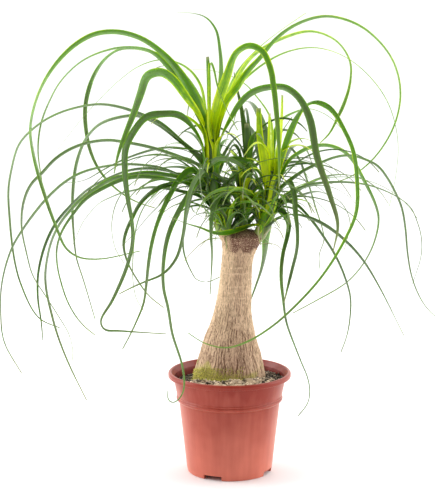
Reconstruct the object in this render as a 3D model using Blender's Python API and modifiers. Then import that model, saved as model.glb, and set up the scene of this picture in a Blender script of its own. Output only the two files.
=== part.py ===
"""A ponytail palm in a terracotta-red nursery pot, in metres with +Z up.

The origin is the middle of the pot's underside, and the photographed front faces -Y. The pot, the
soil, the trunk and each leafy shoot are separate solids. A shoot's leaves follow the courses that
the photograph shows; each is drawn once and hung at its own depth, clear of the other shoots.
"""

import math

import bmesh
import bpy
import numpy as np
from mathutils import Vector
from mathutils.bvhtree import BVHTree

# Clearance between pieces that touch, and the distance under which points are one
GAP = 0.0003
WELD_DISTANCE = 0.000002

# Pot: heights from the surface that it stands on, radii from its axis
POT_HEIGHT = 0.141
POT_STEPS = 48
WALL = 0.0018
LIP_RADIUS = 0.085
LIP_INNER_RADIUS = 0.0802
LIP_BOTTOM = 0.1338
UPPER_WALL_RADIUS = 0.0778
RIDGE_RADIUS = 0.0738
RIDGE_HEIGHT = 0.1035
RIDGE_TOP = 0.1085
RIDGE_TOP_RADIUS = 0.0730
RIDGE_FOOT = 0.1000
RIDGE_FOOT_RADIUS = 0.0700
FOOT_RADIUS = 0.0583
FOOT_RING_INNER_RADIUS = 0.0525
FLOOR_UNDERSIDE = 0.0075
FLOOR_TOP = FLOOR_UNDERSIDE + WALL
NOTCH_HEIGHT = 0.0064
NOTCH_WIDTH = 0.0265
NOTCH_DEPTH = 0.016
NOTCH_TURN = math.radians(-24)
DRAIN_COUNT = 6
DRAIN_SIDES = 12
DRAIN_RADIUS = 0.005
DRAIN_CIRCLE = 0.038

# Soil: its surface is highest at the front and right, and humped round the trunk
SOIL_LEVEL = 0.1275
SOIL_SLOPE = 0.0045
SOIL_BUMP = 0.0007
SOIL_HUMP = 0.002
SOIL_HUMP_RADIUS = 0.052
SOIL_HUMP_WIDTH = 0.010
SOIL_RINGS = (0.0, 0.048, 0.054, 0.060, 0.067)

# Trunk: height, radius and sideways lean of its outline, from its base in the soil to its cut top
TRUNK_STEPS = 36
TRUNK_ROWS = 22
TRUNK_PLAIN_TOP = 0.136
TRUNK_OUTLINE = (
    (0.0950, 0.0455, 0.0000),
    (0.1200, 0.0488, 0.0000),
    (0.1336, 0.0495, 0.0002),
    (0.1592, 0.0446, 0.0007),
    (0.1876, 0.0361, 0.0012),
    (0.2201, 0.0272, 0.0038),
    (0.2496, 0.0237, 0.0068),
    (0.2819, 0.0218, 0.0091),
    (0.3028, 0.0221, 0.0114),
    (0.3140, 0.0240, 0.0138),
    (0.3225, 0.0270, 0.0148),
    (0.3285, 0.0296, 0.0146),
    (0.3330, 0.0290, 0.0144),
    (0.3370, 0.0235, 0.0140),
)
TRUNK_TOP = 0.3405
FISSURE_DEPTH = 0.0010
FISSURE_COUNT = 13
FISSURE_FADE = 0.02
CALLUS_BOTTOM = 0.314
CALLUS_FULL = 0.3285
CALLUS_SWELL = 0.0016
SOCKET_SIDES = 16
SOCKET_LENGTH = 0.045

# Viewpoint of the photograph, which turns a point seen in it and a depth into a place
PHOTO_WIDTH = 435
PHOTO_HEIGHT = 495
VIEWPOINT = np.array((-0.0167, -2.4, 0.746))
VIEW_PITCH = math.radians(10.19)
VIEW_FOCAL_PIXELS = 1782.0

# Stems of the shoots, foot to tip: places and radii in millimetres
TALL_STEM = ((-4, 4, 322, 6), (-13, 4, 338, 6.5), (-16, 4, 352, 6.5), (-18, 3, 373, 8),
             (-22, 2, 397, 10), (-25, 1, 422, 10), (-25, 0, 446, 7), (-25, 0, 464, 4))
RIGHT_STEM = ((29, -3, 321, 6.5), (41, -3, 334, 8), (46, -3, 346, 8), (51, -2, 362, 8.5),
              (54, -1, 380, 8.5), (56, 0, 397, 6.5), (57, 0, 420, 3.5))
MIDDLE_STEM = ((17, 3, 323, 5.5), (18, 3, 344, 6), (18.5, 4, 364, 6.5), (18.5, 4, 380, 5.5),
               (20, 4, 398, 3.5))
SMALL_STEM = ((3, -13, 323, 4), (-2, -18, 338, 4.5), (-4, -20, 354, 3))
BACK_STEM = ((11, 18, 323, 5.5), (13, 24, 345, 6), (17, 24, 375, 6.5), (22, 24, 400, 6),
             (26, 24, 425, 4.5), (27, 24, 444, 3))

# Leaves seen in the photograph. Each has its width in millimetres, how far its tip hangs behind the
# trunk (before it, below zero) in centimetres, how far its blade turns to the front in degrees, and
# its course from stem to tip in the photograph's pixels.
TALL_LEAVES = {
    "left_hoop": (13, -10, 62, "211,158 206,130 195,100 184,80 168,60 157,50 142,40 118,33 95,35 75,46 "
                               "57,64 45,82 36,103 31,130 34,154 42,185 57,228 67,249 79,257 97,259 "
                               "140,251"),
    "left_hoop_inner": (10, 9, 30, "209,150 200,120 190,100 170,70 150,52 125,48 100,53 80,63 60,83 "
                                   "50,101 41,125 38,150 42,182"),
    "left_crook": (9, 17, 40, "210,150 203,118 190,88 172,66 150,52 120,50 108,57 95,74 88,92 85,110 "
                              "86,130 90,150 98,168 107,180 120,192 137,202 155,208"),
    "left_thread": (5, 11, 20, "212,150 205,110 200,85 188,69 165,60 140,66 120,80 100,99 80,121 56,152"),
    "left_narrow": (10, -14, 55, "209,145 200,118 188,100 170,77 160,72 147,76 140,95 133,115 125,135 "
                                 "118,155 114,174"),
    "folded": (13, -20, 50, "207,158 192,127 178,114 160,113 146,116 133,131 125,148 124,170 127,200 "
                            "131,222 132,240 127,264 112,300 100,323 104,330 118,331 167,334"),
    "far_left": (10, 6, 35, "206,165 200,157 180,140 160,124 140,115 120,108 100,105 70,110 50,118 35,128 "
                            "20,144 12,170 9,190 10,216 15,261 21,284 40,319 60,328"),
    "left_down": (10, 19, 50, "208,168 200,158 180,141 160,126 140,117 120,118 100,125 88,137 78,160 "
                              "73,199 74,233 77,259 83,278 95,319"),
    "far_left_low": (9, 3, 20, "205,185 190,180 175,173 160,168 145,166 125,165 100,168 80,174 66,182 "
                               "48,198 21,233 12,249 2,285 1,313 4,341 22,374"),
    "left_mid": (7, -5, 15, "208,165 200,152 190,150 170,148 150,151 126,159 115,164 100,172 88,179 "
                            "78,182 66,183"),
    "low_left_broad": (12, -8, 35, "207,188 185,179 165,175 150,174 127,177 110,181 98,188 85,197 72,210 "
                                   "60,225 52,242 48,258 46,275 47,290 50,305 58,335 70,366 87,401"),
    "low_left_dark": (8, 8, 25, "206,184 195,180 170,172 150,169 130,171 110,178 88,190 70,207 57,222 "
                                "49,236 42,255 38,275 38,300 41,320 43,341"),
    "low_left_pale": (7, -15, 30, "205,190 170,180 130,178 100,190 85,200 72,216 62,232 57,250 58,268 "
                                  "62,285 67,300 75,315 84,326 95,335"),
    "left_short_dark": (7, 13, 20, "205,198 185,193 165,189 150,188 133,191 120,194 110,198 100,203 "
                                   "90,213 82,224 76,238 67,257"),
    "left_low": (10, -17, 45, "205,172 190,172 178,182 160,187 148,194 138,205 132,217 126,230 123,245 "
                              "127,262 137,280 149,296 164,308"),
    "front_left_low": (9, -23, 30, "206,175 190,170 178,180 172,190 163,207 156,225 151,245 148,265 "
                                   "146,285 143,305 137,320 130,335 122,350"),
    "left_dark_line": (6, 10, 15, "207,192 185,187 172,192 160,205 148,217 138,229 125,243 110,253 "
                                  "100,258 90,264"),
    "left_pale_line": (5, 18, 20, "206,186 190,177 175,180 163,187 155,195 147,203 140,216 136,230 "
                                  "134,245 133,262 133,280 137,300 145,312"),
    "left_fine": (5, 20, 15, "207,182 190,170 165,168 140,178 125,190 118,200 113,215 112,232 116,250 "
                             "124,263"),
    "left_short_high": (7, 7, 15, "206,172 200,167 185,161 170,159 160,160 150,164 143,169"),
    "top_left": (8, 12, 25, "213,145 216,110 221,80 220,50 215,28 205,17 190,13 177,13"),
    "front_thread": (5, -7, 15, "210,140 210,100 211,62 214,70 217,85 226,108 232,120 238,131"),
    "right_hook": (13, -8, 70, "213,150 217,110 228,75 238,52 250,46 262,51 270,67 274,90 277,120 "
                               "279,150 279,190"),
    "right_dark_hoop": (13, -11, 55, "216,160 221,140 232,118 240,105 250,95 260,90 270,88 285,88 298,97 "
                                     "309,117 317,157 330,195 338,225 333,252"),
    "top_right_hoop": (10, 10, 40, "213,140 225,103 237,88 248,72 262,57 275,41 295,26 325,17 355,24 "
                                   "375,38 393,62 400,92 394,125 372,160 350,177 330,184"),
    "top_thread": (4, 15, 10, "215,130 225,100 237,73 260,47 280,31 306,13"),
    "right_thread": (5, 19, 15, "216,140 230,98 250,75 285,53 315,48 345,57 375,83 390,108 398,145 "
                                "395,180 389,207"),
    "top_right_crook": (9, 21, 35, "214,135 228,100 250,60 285,38 313,32 338,43 350,63 350,82 345,101 "
                                   "337,119 329,134 320,143"),
    "behind_trunk": (5, 14, 10, "210,178 200,180 193,192 188,210 184,230 183,245 185,257 191,271 "
                                "197,280 207,282 220,277"),
}
RIGHT_LEAVES = {
    "over_trunk": (12, -13, 45, "271,200 275,185 283,150 288,135 297,115 306,104 315,101 330,107 346,131 "
                                "354,150 358,180 357,213 344,243 323,276 299,303 272,327 245,343 226,348 "
                                "204,343 188,333"),
    "right_short_dark": (7, 9, 15, "271,190 273,150 280,122 294,113 309,109 326,115 340,127 353,150"),
    "right_hoop": (10, 6, 35, "273,205 280,180 290,160 300,153 311,148 325,146 340,150 350,158 363,180 "
                              "375,205 378,217 371,249 350,279 317,300 293,313"),
    "far_right_high": (8, -6, 20, "273,200 280,190 292,180 305,171 320,164 335,158 350,156 365,160 "
                                  "377,166 388,180 393,189 401,207 405,229 407,252 411,275 417,292 "
                                  "425,306 437,318 464,331"),
    "far_right_low": (7, 9, 15, "273,205 290,193 312,185 330,183 350,183 370,186 387,192 400,199 410,207 "
                                "417,222 421,237 421,255 417,270 410,288 398,302 384,312 371,319"),
    "right_fall": (7, -18, 15, "270,222 280,218 290,215 305,217 320,223 333,231 344,240 356,252 366,265 "
                               "378,285 386,300 404,336"),
    "right_steep": (8, -10, 25, "272,208 285,200 297,205 311,220 323,237 335,256 344,276 350,297 350,315 "
                                "347,335 341,352"),
    "right_drop": (6, 15, 15, "272,190 278,160 287,147 298,158 304,173 310,190 316,210 322,228 324,240 "
                              "319,255 320,270"),
    "right_hang": (10, -15, 40, "272,206 282,188 290,182 295,195 296,210 298,230 297,250 292,270 "
                                "287,290 284,303"),
    "pot_side": (9, -22, 35, "270,215 280,210 289,222 288,235 284,252 282,276 284,300 287,322 295,345 "
                             "302,363 308,378 310,390 308,403 298,416"),
    "right_thin_hoop": (6, 17, 15, "272,210 285,200 300,196 318,192 330,196 342,204 350,226 344,250"),
    "over_pot": (13, -11, 65, "268,207 265,190 262,178 255,168 245,160 233,157 220,160 208,167 198,178 "
                              "190,190 180,207 171,225 166,240 163,258 162,275 163,290 167,306 172,335 "
                              "177,350 181,362 184,380 183,392 177,401 172,403 168,400 168,390"),
    "front_arch": (12, -15, 45, "268,210 256,185 243,168 228,160 218,160 205,170 195,182 190,195 187,210 "
                                "185,228 182,243 177,258 168,270 160,276 147,281 135,286 119,294"),
    "long_left": (10, -5, 25, "269,206 258,203 245,196 230,187 218,177 205,169 190,162 175,156 150,148 "
                              "125,143 110,141 90,143 70,150 55,160 42,174 32,184 25,199 22,225 27,253 "
                              "33,275 46,296 58,315 69,334 73,351 72,364"),
    "across_trunk": (10, -9, 40, "265,222 255,225 244,229 223,234 212,233 200,228 187,224 168,216"),
    "pale_left": (9, -6, 40, "269,208 258,198 245,192 230,189 215,192 206,198 200,206 196,214"),
    "by_trunk": (9, 12, 20, "268,218 267,228 266,240 265,255 261,272 256,286 250,302 244,318"),
    "thin_up_left": (4, 12, 10, "271,190 272,150 270,118 255,95 246,85 225,74 205,70 183,70"),
    "dark_back": (7, 13, 30, "272,190 277,150 283,130 292,117"),
    "inner_left": (6, 14, 15, "268,200 262,160 256,133 248,141 240,150 233,160 226,172 222,182"),
}
MIDDLE_LEAVES = {
    "front_hang": (7, -20, 10, "241,205 234,195 224,193 216,202 212,216 211,235 212,258 210,295"),
}
SMALL_LEAVES = {
    "curl": (5, -5, 15, "226,224 214,222 209,213 200,206 191,206 194,212 203,217"),
}
BACK_LEAVES = {
    "dark_spear": (9, 4, 60, "248,175 246,140 241,105 237,88 234,72"),
}

# Leaves cut off square, as the photograph shows them
TALL_CUT_LEAVES = {"cut_spear": (8, 0, 60, "209,140 208,100 208,80 207,56")}
RIGHT_CUT_LEAVES = {
    "cut_left": (9, 2, 60, "269,190 264,160 260,135 259,108"),
    "cut_middle": (7, -2, 50, "271,190 270,150 270,113"),
    "cut_right": (6, 5, 50, "273,190 278,150 281,120 282,95"),
}
BACK_CUT_LEAVES = {"cut_grey": (8, 2, 60, "249,170 248,140 247,123")}

# Leaves placed by rule round a stem's upper part, from the lowest to the highest: how many, the first
# heading and the step between headings in degrees, lengths, steepness and width
GOLDEN_ANGLE = 137.5
FAN_ANGLE = 19.0
MIDDLE_RULE = {"count": 9, "heading": 20, "step": GOLDEN_ANGLE, "lengths": (0.115, 0.095),
               "rises": (38, 84), "width": 0.008}
SMALL_RULE = {"count": 6, "heading": 250, "step": GOLDEN_ANGLE, "lengths": (0.07, 0.06),
              "rises": (35, 80), "width": 0.006}
BACK_RULE = {"count": 9, "heading": 75, "step": GOLDEN_ANGLE, "lengths": (0.19, 0.12),
             "rises": (45, 84), "width": 0.009}
TALL_RULE = {"count": 4, "heading": 62, "step": FAN_ANGLE, "lengths": (0.28, 0.26),
             "rises": (48, 62), "width": 0.011}
RIGHT_RULE = {"count": 4, "heading": 48, "step": FAN_ANGLE, "lengths": (0.27, 0.25),
              "rises": (46, 60), "width": 0.010}
TURNS = [0] + [sign * step for step in range(4, 61, 4) for sign in (1, -1)]

# The shoots, the small ones first, as they have the least room
SHOOTS = {
    "middle_shoot": {"stem": MIDDLE_STEM, "seen": MIDDLE_LEAVES, "cut_off": {}, "rule": MIDDLE_RULE,
                     "colour": (0.16, 0.32, 0.04)},
    "small_shoot": {"stem": SMALL_STEM, "seen": SMALL_LEAVES, "cut_off": {}, "rule": SMALL_RULE,
                    "colour": (0.08, 0.20, 0.03)},
    "back_shoot": {"stem": BACK_STEM, "seen": BACK_LEAVES, "cut_off": BACK_CUT_LEAVES,
                   "rule": BACK_RULE, "colour": (0.04, 0.14, 0.03)},
    "right_shoot": {"stem": RIGHT_STEM, "seen": RIGHT_LEAVES, "cut_off": RIGHT_CUT_LEAVES,
                    "rule": RIGHT_RULE, "colour": (0.13, 0.28, 0.03)},
    "tall_shoot": {"stem": TALL_STEM, "seen": TALL_LEAVES, "cut_off": TALL_CUT_LEAVES,
                   "rule": TALL_RULE, "colour": (0.10, 0.24, 0.02)},
}

# Blade: a flat upper face over a keel, along its own course
RING_SPACING = 0.065
RING_BEND = math.radians(19)
FEWEST_RINGS = 6
MOST_RINGS = 24
KEEL_SHARE = 0.2
KEEL_LEAST = 0.0009
THREAD_WIDTH = 0.0014
ROOT_SINK = 0.010
ROOT_OFFSET = 0.35
ROOT_SHARE = 0.2
ROOT_LIFT = 0.0004
ROOT_TWIST = 0.55
TWIST_END = 0.3
DROOP = 62.0

# Search for a depth at which a leaf clears the other shoots
CLEAR_WIDTH = 0.0024
CLEAR_STEP = 0.006
CLEAR_REACH = 12
OWN_TRIES = 160


def clear_scene():
    """Remove every object that the file opened with."""
    for thing in list(bpy.data.objects):
        bpy.data.objects.remove(thing, do_unlink=True)


def new_collection(name):
    group = bpy.data.collections.new(name)
    bpy.context.scene.collection.children.link(group)
    return group


def new_material(name, colour, roughness):
    """A Principled material of one colour, not metallic."""
    material = bpy.data.materials.new(name)
    material.use_nodes = True
    shader = material.node_tree.nodes["Principled BSDF"]
    shader.inputs["Base Color"].default_value = (*colour, 1.0)
    shader.inputs["Roughness"].default_value = roughness
    shader.inputs["Metallic"].default_value = 0.0
    material.diffuse_color = (*colour, 1.0)
    return material


def new_object(name, mesh, group, material=None):
    thing = bpy.data.objects.new(name, mesh)
    group.objects.link(thing)
    if material:
        mesh.materials.clear()
        mesh.materials.append(material)
    return thing


def mesh_from(name, points, faces):
    mesh = bpy.data.meshes.new(name)
    mesh.from_pydata([tuple(p) for p in points], [], [tuple(f) for f in faces])
    mesh.update()
    return mesh


def evaluated_mesh(thing):
    """The object's mesh with its modifiers applied."""
    bpy.context.view_layer.update()
    depsgraph = bpy.context.evaluated_depsgraph_get()
    return bpy.data.meshes.new_from_object(thing.evaluated_get(depsgraph))


def weld(mesh):
    """Join points that lie in one place, such as where a cutter's edge ran along a face's."""
    shape = bmesh.new()
    shape.from_mesh(mesh)
    bmesh.ops.remove_doubles(shape, verts=shape.verts, dist=WELD_DISTANCE)
    shape.to_mesh(mesh)
    shape.free()
    return mesh


def arc(centre, radius, start, end, steps):
    """Points along a circular arc in the profile's plane, angles in degrees from +X."""
    angles = np.radians(np.linspace(start, end, steps + 1))
    return [(centre[0] + radius * math.cos(a), centre[1] + radius * math.sin(a)) for a in angles]


def turned_mesh(name, profile, steps, group):
    """A profile of (radius, height) points, swept round Z by a Screw modifier and applied."""
    edges = [(i, i + 1) for i in range(len(profile) - 1)]
    outline = bpy.data.meshes.new(name)
    outline.from_pydata([(r, 0.0, z) for r, z in profile], edges, [])
    thing = new_object(name, outline, group)
    screw = thing.modifiers.new("turn", "SCREW")
    screw.steps = steps
    screw.render_steps = steps
    screw.use_merge_vertices = True
    screw.merge_threshold = 0.00001
    mesh = evaluated_mesh(thing)
    bpy.data.objects.remove(thing, do_unlink=True)
    return mesh


def take_cutter(name, cutters):
    """Name the primitive just added and move it to the cutters, a hidden wire guide."""
    cutter = bpy.context.object
    cutter.name = name
    for owner in cutter.users_collection:
        owner.objects.unlink(cutter)
    cutters.objects.link(cutter)
    return cutter


def cut(thing, tools):
    """Boolean difference of each tool, applied, with doubled points welded."""
    for cutter in tools:
        cutter.hide_render = True
        cutter.display_type = "WIRE"
        boolean = thing.modifiers.new("cut " + cutter.name, "BOOLEAN")
        boolean.operation = "DIFFERENCE"
        boolean.object = cutter
    mesh = evaluated_mesh(thing)
    thing.modifiers.clear()
    thing.data = weld(mesh)


def smooth_round(thing, angle=35):
    thing.data.shade_smooth()
    thing.data.set_sharp_from_angle(angle=math.radians(angle))


def inner_wall_radius(height):
    """Radius of the pot's inner wall at a height."""
    heights = (FLOOR_TOP, RIDGE_FOOT, RIDGE_TOP, LIP_BOTTOM)
    radii = (FOOT_RADIUS, RIDGE_FOOT_RADIUS, RIDGE_TOP_RADIUS, UPPER_WALL_RADIUS)
    return float(np.interp(height, heights, radii)) - WALL


def pot_profile():
    """Half section from the middle of the inner floor, over the lip, to the middle of the underside."""
    inner = [(0.0, FLOOR_TOP)]
    inner += [(inner_wall_radius(z), z) for z in (FLOOR_TOP, RIDGE_FOOT, RIDGE_TOP, LIP_BOTTOM)]
    lip_edge = 0.0015
    lip_crest = arc((LIP_INNER_RADIUS + lip_edge, POT_HEIGHT - lip_edge), lip_edge, 180, 90, 2)
    outer_round = 0.0028
    lip_outer = arc((LIP_RADIUS - outer_round, POT_HEIGHT - outer_round), outer_round, 90, 0, 3)
    under_round = 0.0012
    lip_under = arc((LIP_RADIUS - under_round, LIP_BOTTOM + under_round), under_round, 0, -90, 2)
    outer = [
        (UPPER_WALL_RADIUS, LIP_BOTTOM),
        (RIDGE_TOP_RADIUS, RIDGE_TOP),
        (RIDGE_RADIUS, RIDGE_HEIGHT),
        (RIDGE_RADIUS - 0.0012, RIDGE_HEIGHT - 0.0022),
        (RIDGE_FOOT_RADIUS, RIDGE_FOOT),
        (FOOT_RADIUS + 0.0012, 0.0060),
        (FOOT_RADIUS, 0.0008),
        (FOOT_RADIUS - 0.0008, 0.0),
    ]
    underside = [
        (FOOT_RING_INNER_RADIUS, 0.0),
        (FOOT_RING_INNER_RADIUS - 0.0008, FLOOR_UNDERSIDE),
        (0.0, FLOOR_UNDERSIDE),
    ]
    return inner + lip_crest + lip_outer + lip_under + outer + underside


def around(radius, turn):
    """A place on a circle; the turn runs from the front towards +X."""
    return Vector((radius * math.sin(turn), -radius * math.cos(turn), 0.0))


def make_pot(parts, cutters):
    """The moulded pot: a turned shell, its foot ring notched four times and its floor drained."""
    plastic = new_material("terracotta plastic", (0.52, 0.11, 0.06), 0.3)
    pot = new_object("pot", turned_mesh("pot", pot_profile(), POT_STEPS, parts), parts, plastic)
    tools = []
    for quarter in range(4):
        turn = NOTCH_TURN + quarter * math.pi / 2
        bpy.ops.mesh.primitive_cube_add(size=1.0)
        notch = take_cutter(f"notch_cutter_{quarter + 1}", cutters)
        notch.scale = (NOTCH_WIDTH, NOTCH_DEPTH, 2 * NOTCH_HEIGHT)
        notch.location = around((FOOT_RADIUS + FOOT_RING_INNER_RADIUS) / 2, turn)
        notch.rotation_euler = (0.0, 0.0, turn)
        tools.append(notch)
    for hole in range(DRAIN_COUNT):
        bpy.ops.mesh.primitive_cylinder_add(vertices=DRAIN_SIDES, radius=DRAIN_RADIUS, depth=4 * WALL)
        drain = take_cutter(f"drain_cutter_{hole + 1}", cutters)
        place = around(DRAIN_CIRCLE, NOTCH_TURN + hole * 2 * math.pi / DRAIN_COUNT)
        drain.location = place + Vector((0.0, 0.0, FLOOR_UNDERSIDE))
        tools.append(drain)
    cut(pot, tools)
    smooth_round(pot)
    return pot


def soil_height(x, y):
    """Surface of the soil: a slope up to the front and right, a hump at the trunk and low waves."""
    slope = SOIL_SLOPE * (0.6 * x - 0.8 * y) / UPPER_WALL_RADIUS
    hump = SOIL_HUMP * math.exp(-((math.hypot(x, y) - SOIL_HUMP_RADIUS) / SOIL_HUMP_WIDTH) ** 2)
    waves = math.sin(x * 190 + 1.0) * math.cos(y * 230) + 0.6 * math.sin((x + y) * 330 + 2.0)
    return SOIL_LEVEL + slope + hump + SOIL_BUMP * waves


def plug_profile(allowance):
    """The trunk's plain base below the soil's surface, larger all round by an allowance."""
    base, waist, shoulder = TRUNK_OUTLINE[0], TRUNK_OUTLINE[1], TRUNK_OUTLINE[2]
    return [
        (shoulder[1] + allowance, shoulder[0]),
        (waist[1] + allowance, waist[0]),
        (base[1] + allowance, base[0] - allowance),
        (0.0, base[0] - allowance),
    ]


def make_soil(parts, cutters):
    """The soil: it fills the pot, its surface is uneven, and the trunk stands in a plain hole in it."""
    crumbs = new_material("potting soil", (0.03, 0.02, 0.014), 0.95)
    side = [(inner_wall_radius(z) - GAP, z) for z in (SOIL_LEVEL, RIDGE_TOP, RIDGE_FOOT)]
    floor = FLOOR_TOP + GAP
    rings = [(r, SOIL_LEVEL) for r in SOIL_RINGS]
    profile = rings + side + [(inner_wall_radius(floor) - GAP, floor), (0.0, floor)]
    mesh = turned_mesh("soil", profile, POT_STEPS, parts)
    for vertex in mesh.vertices:
        if vertex.co.z < SOIL_LEVEL - GAP:
            continue
        radius = math.hypot(vertex.co.x, vertex.co.y)
        vertex.co.z = soil_height(vertex.co.x, vertex.co.y)
        if radius > SOIL_RINGS[-1] + GAP:
            edge = (inner_wall_radius(vertex.co.z) - GAP) / radius
            vertex.co.x *= edge
            vertex.co.y *= edge
    soil = new_object("soil", mesh, parts, crumbs)
    plug = plug_profile(GAP)
    bore = [(0.0, POT_HEIGHT), (plug[0][0], POT_HEIGHT)] + plug
    hole = new_object("trunk_hole_cutter", turned_mesh("trunk_hole", bore, POT_STEPS, cutters), cutters)
    cut(soil, [hole])
    smooth_round(soil, 50)
    return soil


def trunk_swell(turn, height):
    """Bark relief at a turn and height: fissures cut inwards, and the callus lumps at the top."""
    fade = float(np.clip((height - TRUNK_PLAIN_TOP) / FISSURE_FADE, 0.0, 1.0))
    wander = 0.9 * math.sin(2 * turn + 9 * height) + 0.4 * math.sin(3 * turn - 31 * height)
    fissures = -FISSURE_DEPTH * (0.5 + 0.5 * math.sin(FISSURE_COUNT * turn + 2.2 * wander))
    top = float(np.clip((height - CALLUS_BOTTOM) / (CALLUS_FULL - CALLUS_BOTTOM), 0.0, 1.0))
    lumps = CALLUS_SWELL * (math.sin(3 * turn + 0.8) + 0.6 * math.sin(5 * turn + 2.0))
    return fade * fissures + top * lumps


def make_socket(name, stem, cutters):
    """A cutter for the plain hole that a stem stands in, along its first stretch."""
    foot, bend = Vector(stem[0][:3]) / 1000, Vector(stem[1][:3]) / 1000
    axis = (bend - foot).normalized()
    radius = (max(stem[0][3], stem[1][3]) / 1000 + GAP) / math.cos(math.pi / SOCKET_SIDES)
    bpy.ops.mesh.primitive_cylinder_add(vertices=SOCKET_SIDES, radius=radius, depth=SOCKET_LENGTH)
    socket = take_cutter(name + "_socket_cutter", cutters)
    socket.location = foot + axis * (SOCKET_LENGTH / 2 - GAP)
    socket.rotation_euler = axis.to_track_quat("Z", "Y").to_euler()
    return socket


def make_trunk(parts, cutters):
    """The trunk: a turned outline, leaned and fissured, with a socket for each shoot in its top."""
    bark = new_material("bark", (0.50, 0.34, 0.20), 0.85)
    heights = np.array([row[0] for row in TRUNK_OUTLINE])
    radii = np.array([row[1] for row in TRUNK_OUTLINE])
    leans = np.array([row[2] for row in TRUNK_OUTLINE])
    above = np.linspace(TRUNK_PLAIN_TOP, heights[-1], TRUNK_ROWS)
    smooth_radii = hermite(heights, radii[:, None], above)[:, 0]
    smooth_leans = hermite(heights, leans[:, None], above)[:, 0]
    profile = [(0.0, TRUNK_TOP)]
    profile += [(float(r), float(z)) for r, z in zip(smooth_radii[::-1], above[::-1])]
    profile += plug_profile(0.0)
    mesh = turned_mesh("trunk", profile, TRUNK_STEPS, parts)
    for vertex in mesh.vertices:
        x, y, z = vertex.co
        radius = math.hypot(x, y)
        lean = float(np.interp(z, above, smooth_leans)) if z > TRUNK_PLAIN_TOP else 0.0
        if radius > GAP and z > TRUNK_PLAIN_TOP:
            turn = math.atan2(y, x)
            radius += trunk_swell(turn, z)
            x, y = radius * math.cos(turn), radius * math.sin(turn)
        vertex.co = (x + lean, y, z)
    trunk = new_object("trunk", mesh, parts, bark)
    cut(trunk, [make_socket(name, shoot["stem"], cutters) for name, shoot in SHOOTS.items()])
    smooth_round(trunk, 50)
    return trunk


def hermite(knots, values, at):
    """Cubic through values at uneven knots, with slopes from the neighbouring chords."""
    knots, values = np.asarray(knots, float), np.asarray(values, float)
    gaps = np.diff(knots)[:, None]
    chords = np.diff(values, axis=0) / gaps
    slopes = np.vstack((chords[:1], (chords[:-1] * gaps[1:] + chords[1:] * gaps[:-1])
                        / (gaps[1:] + gaps[:-1]), chords[-1:]))
    spans = np.clip(np.searchsorted(knots, at, side="right") - 1, 0, len(knots) - 2)
    gap = gaps[spans]
    t = ((np.asarray(at, float) - knots[spans])[:, None]) / gap
    start, end = values[spans], values[spans + 1]
    first, last = slopes[spans] * gap, slopes[spans + 1] * gap
    return ((2 * t**3 - 3 * t**2 + 1) * start + (t**3 - 2 * t**2 + t) * first
            + (3 * t**2 - 2 * t**3) * end + (t**3 - t**2) * last)


def resampled(points):
    """A smooth curve through points, as places set closer together where it bends."""
    points = np.asarray(points, float)
    knots = np.concatenate(([0.0], np.cumsum(np.linalg.norm(np.diff(points, axis=0), axis=1) ** 0.75)))
    dense = hermite(knots, points, np.linspace(0.0, knots[-1], 300))
    strides = np.diff(dense, axis=0)
    lengths = np.linalg.norm(strides, axis=1)
    headings = strides / lengths[:, None]
    bends = np.arccos(np.clip(np.sum(headings[1:] * headings[:-1], axis=1), -1.0, 1.0))
    weights = lengths / RING_SPACING + np.concatenate(([0.0], bends)) / RING_BEND
    travelled = np.concatenate(([0.0], np.cumsum(weights)))
    count = int(np.clip(round(travelled[-1]), FEWEST_RINGS, MOST_RINGS))
    stops = np.linspace(0.0, travelled[-1], count)
    places = np.column_stack([np.interp(stops, travelled, dense[:, k]) for k in range(3)])
    along = np.interp(stops, travelled, np.concatenate(([0.0], np.cumsum(lengths))) / np.sum(lengths))
    return places, along


def seen_places(columns, rows, depths):
    """Places at given depths (Y) that the photograph shows at given pixels."""
    across = (columns - PHOTO_WIDTH / 2) / VIEW_FOCAL_PIXELS
    up = (PHOTO_HEIGHT / 2 - rows) / VIEW_FOCAL_PIXELS
    ray_y = math.cos(VIEW_PITCH) + up * math.sin(VIEW_PITCH)
    ray_z = up * math.cos(VIEW_PITCH) - math.sin(VIEW_PITCH)
    reach = (depths - VIEWPOINT[1]) / ray_y
    return np.column_stack((VIEWPOINT[0] + reach * across, depths, VIEWPOINT[2] + reach * ray_z))


def stem_point(stem, height, order):
    """The place in a stem at a height, set off its axis by the leaf's order round the stem."""
    rows = np.array(stem, float) / 1000
    height = float(np.clip(height, rows[0, 2] + 0.006, rows[-1, 2] - 0.005))
    x, y, _, radius = (float(np.interp(height, rows[:, 2], rows[:, k])) for k in range(4))
    turn = math.radians(GOLDEN_ANGLE * order)
    offset = ROOT_OFFSET * radius
    lift = ROOT_LIFT * (order % 7)
    return np.array((x + offset * math.cos(turn), y + offset * math.sin(turn), height - lift))


def seen_course(stem, order, trace, tip_depth, belly):
    """A traced leaf in space: its depth swings from the stem's to the tip's, with a belly between."""
    marks = np.array([[float(v) for v in mark.split(",")] for mark in trace.split()])
    along = np.concatenate(([0.0], np.cumsum(np.linalg.norm(np.diff(marks, axis=0), axis=1))))
    along /= along[-1]
    root_guess = seen_places(marks[:1, 0], marks[:1, 1], np.array([stem[2][1] / 1000]))[0]
    root = stem_point(stem, root_guess[2] - ROOT_SINK, order)
    swing = (1.0 - np.cos(math.pi * np.minimum(1.0, along / 0.92))) / 2
    depths = root[1] + (tip_depth - root[1]) * swing + belly * np.sin(math.pi * along)
    return np.vstack((root, seen_places(marks[:, 0], marks[:, 1], depths)))


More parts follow.
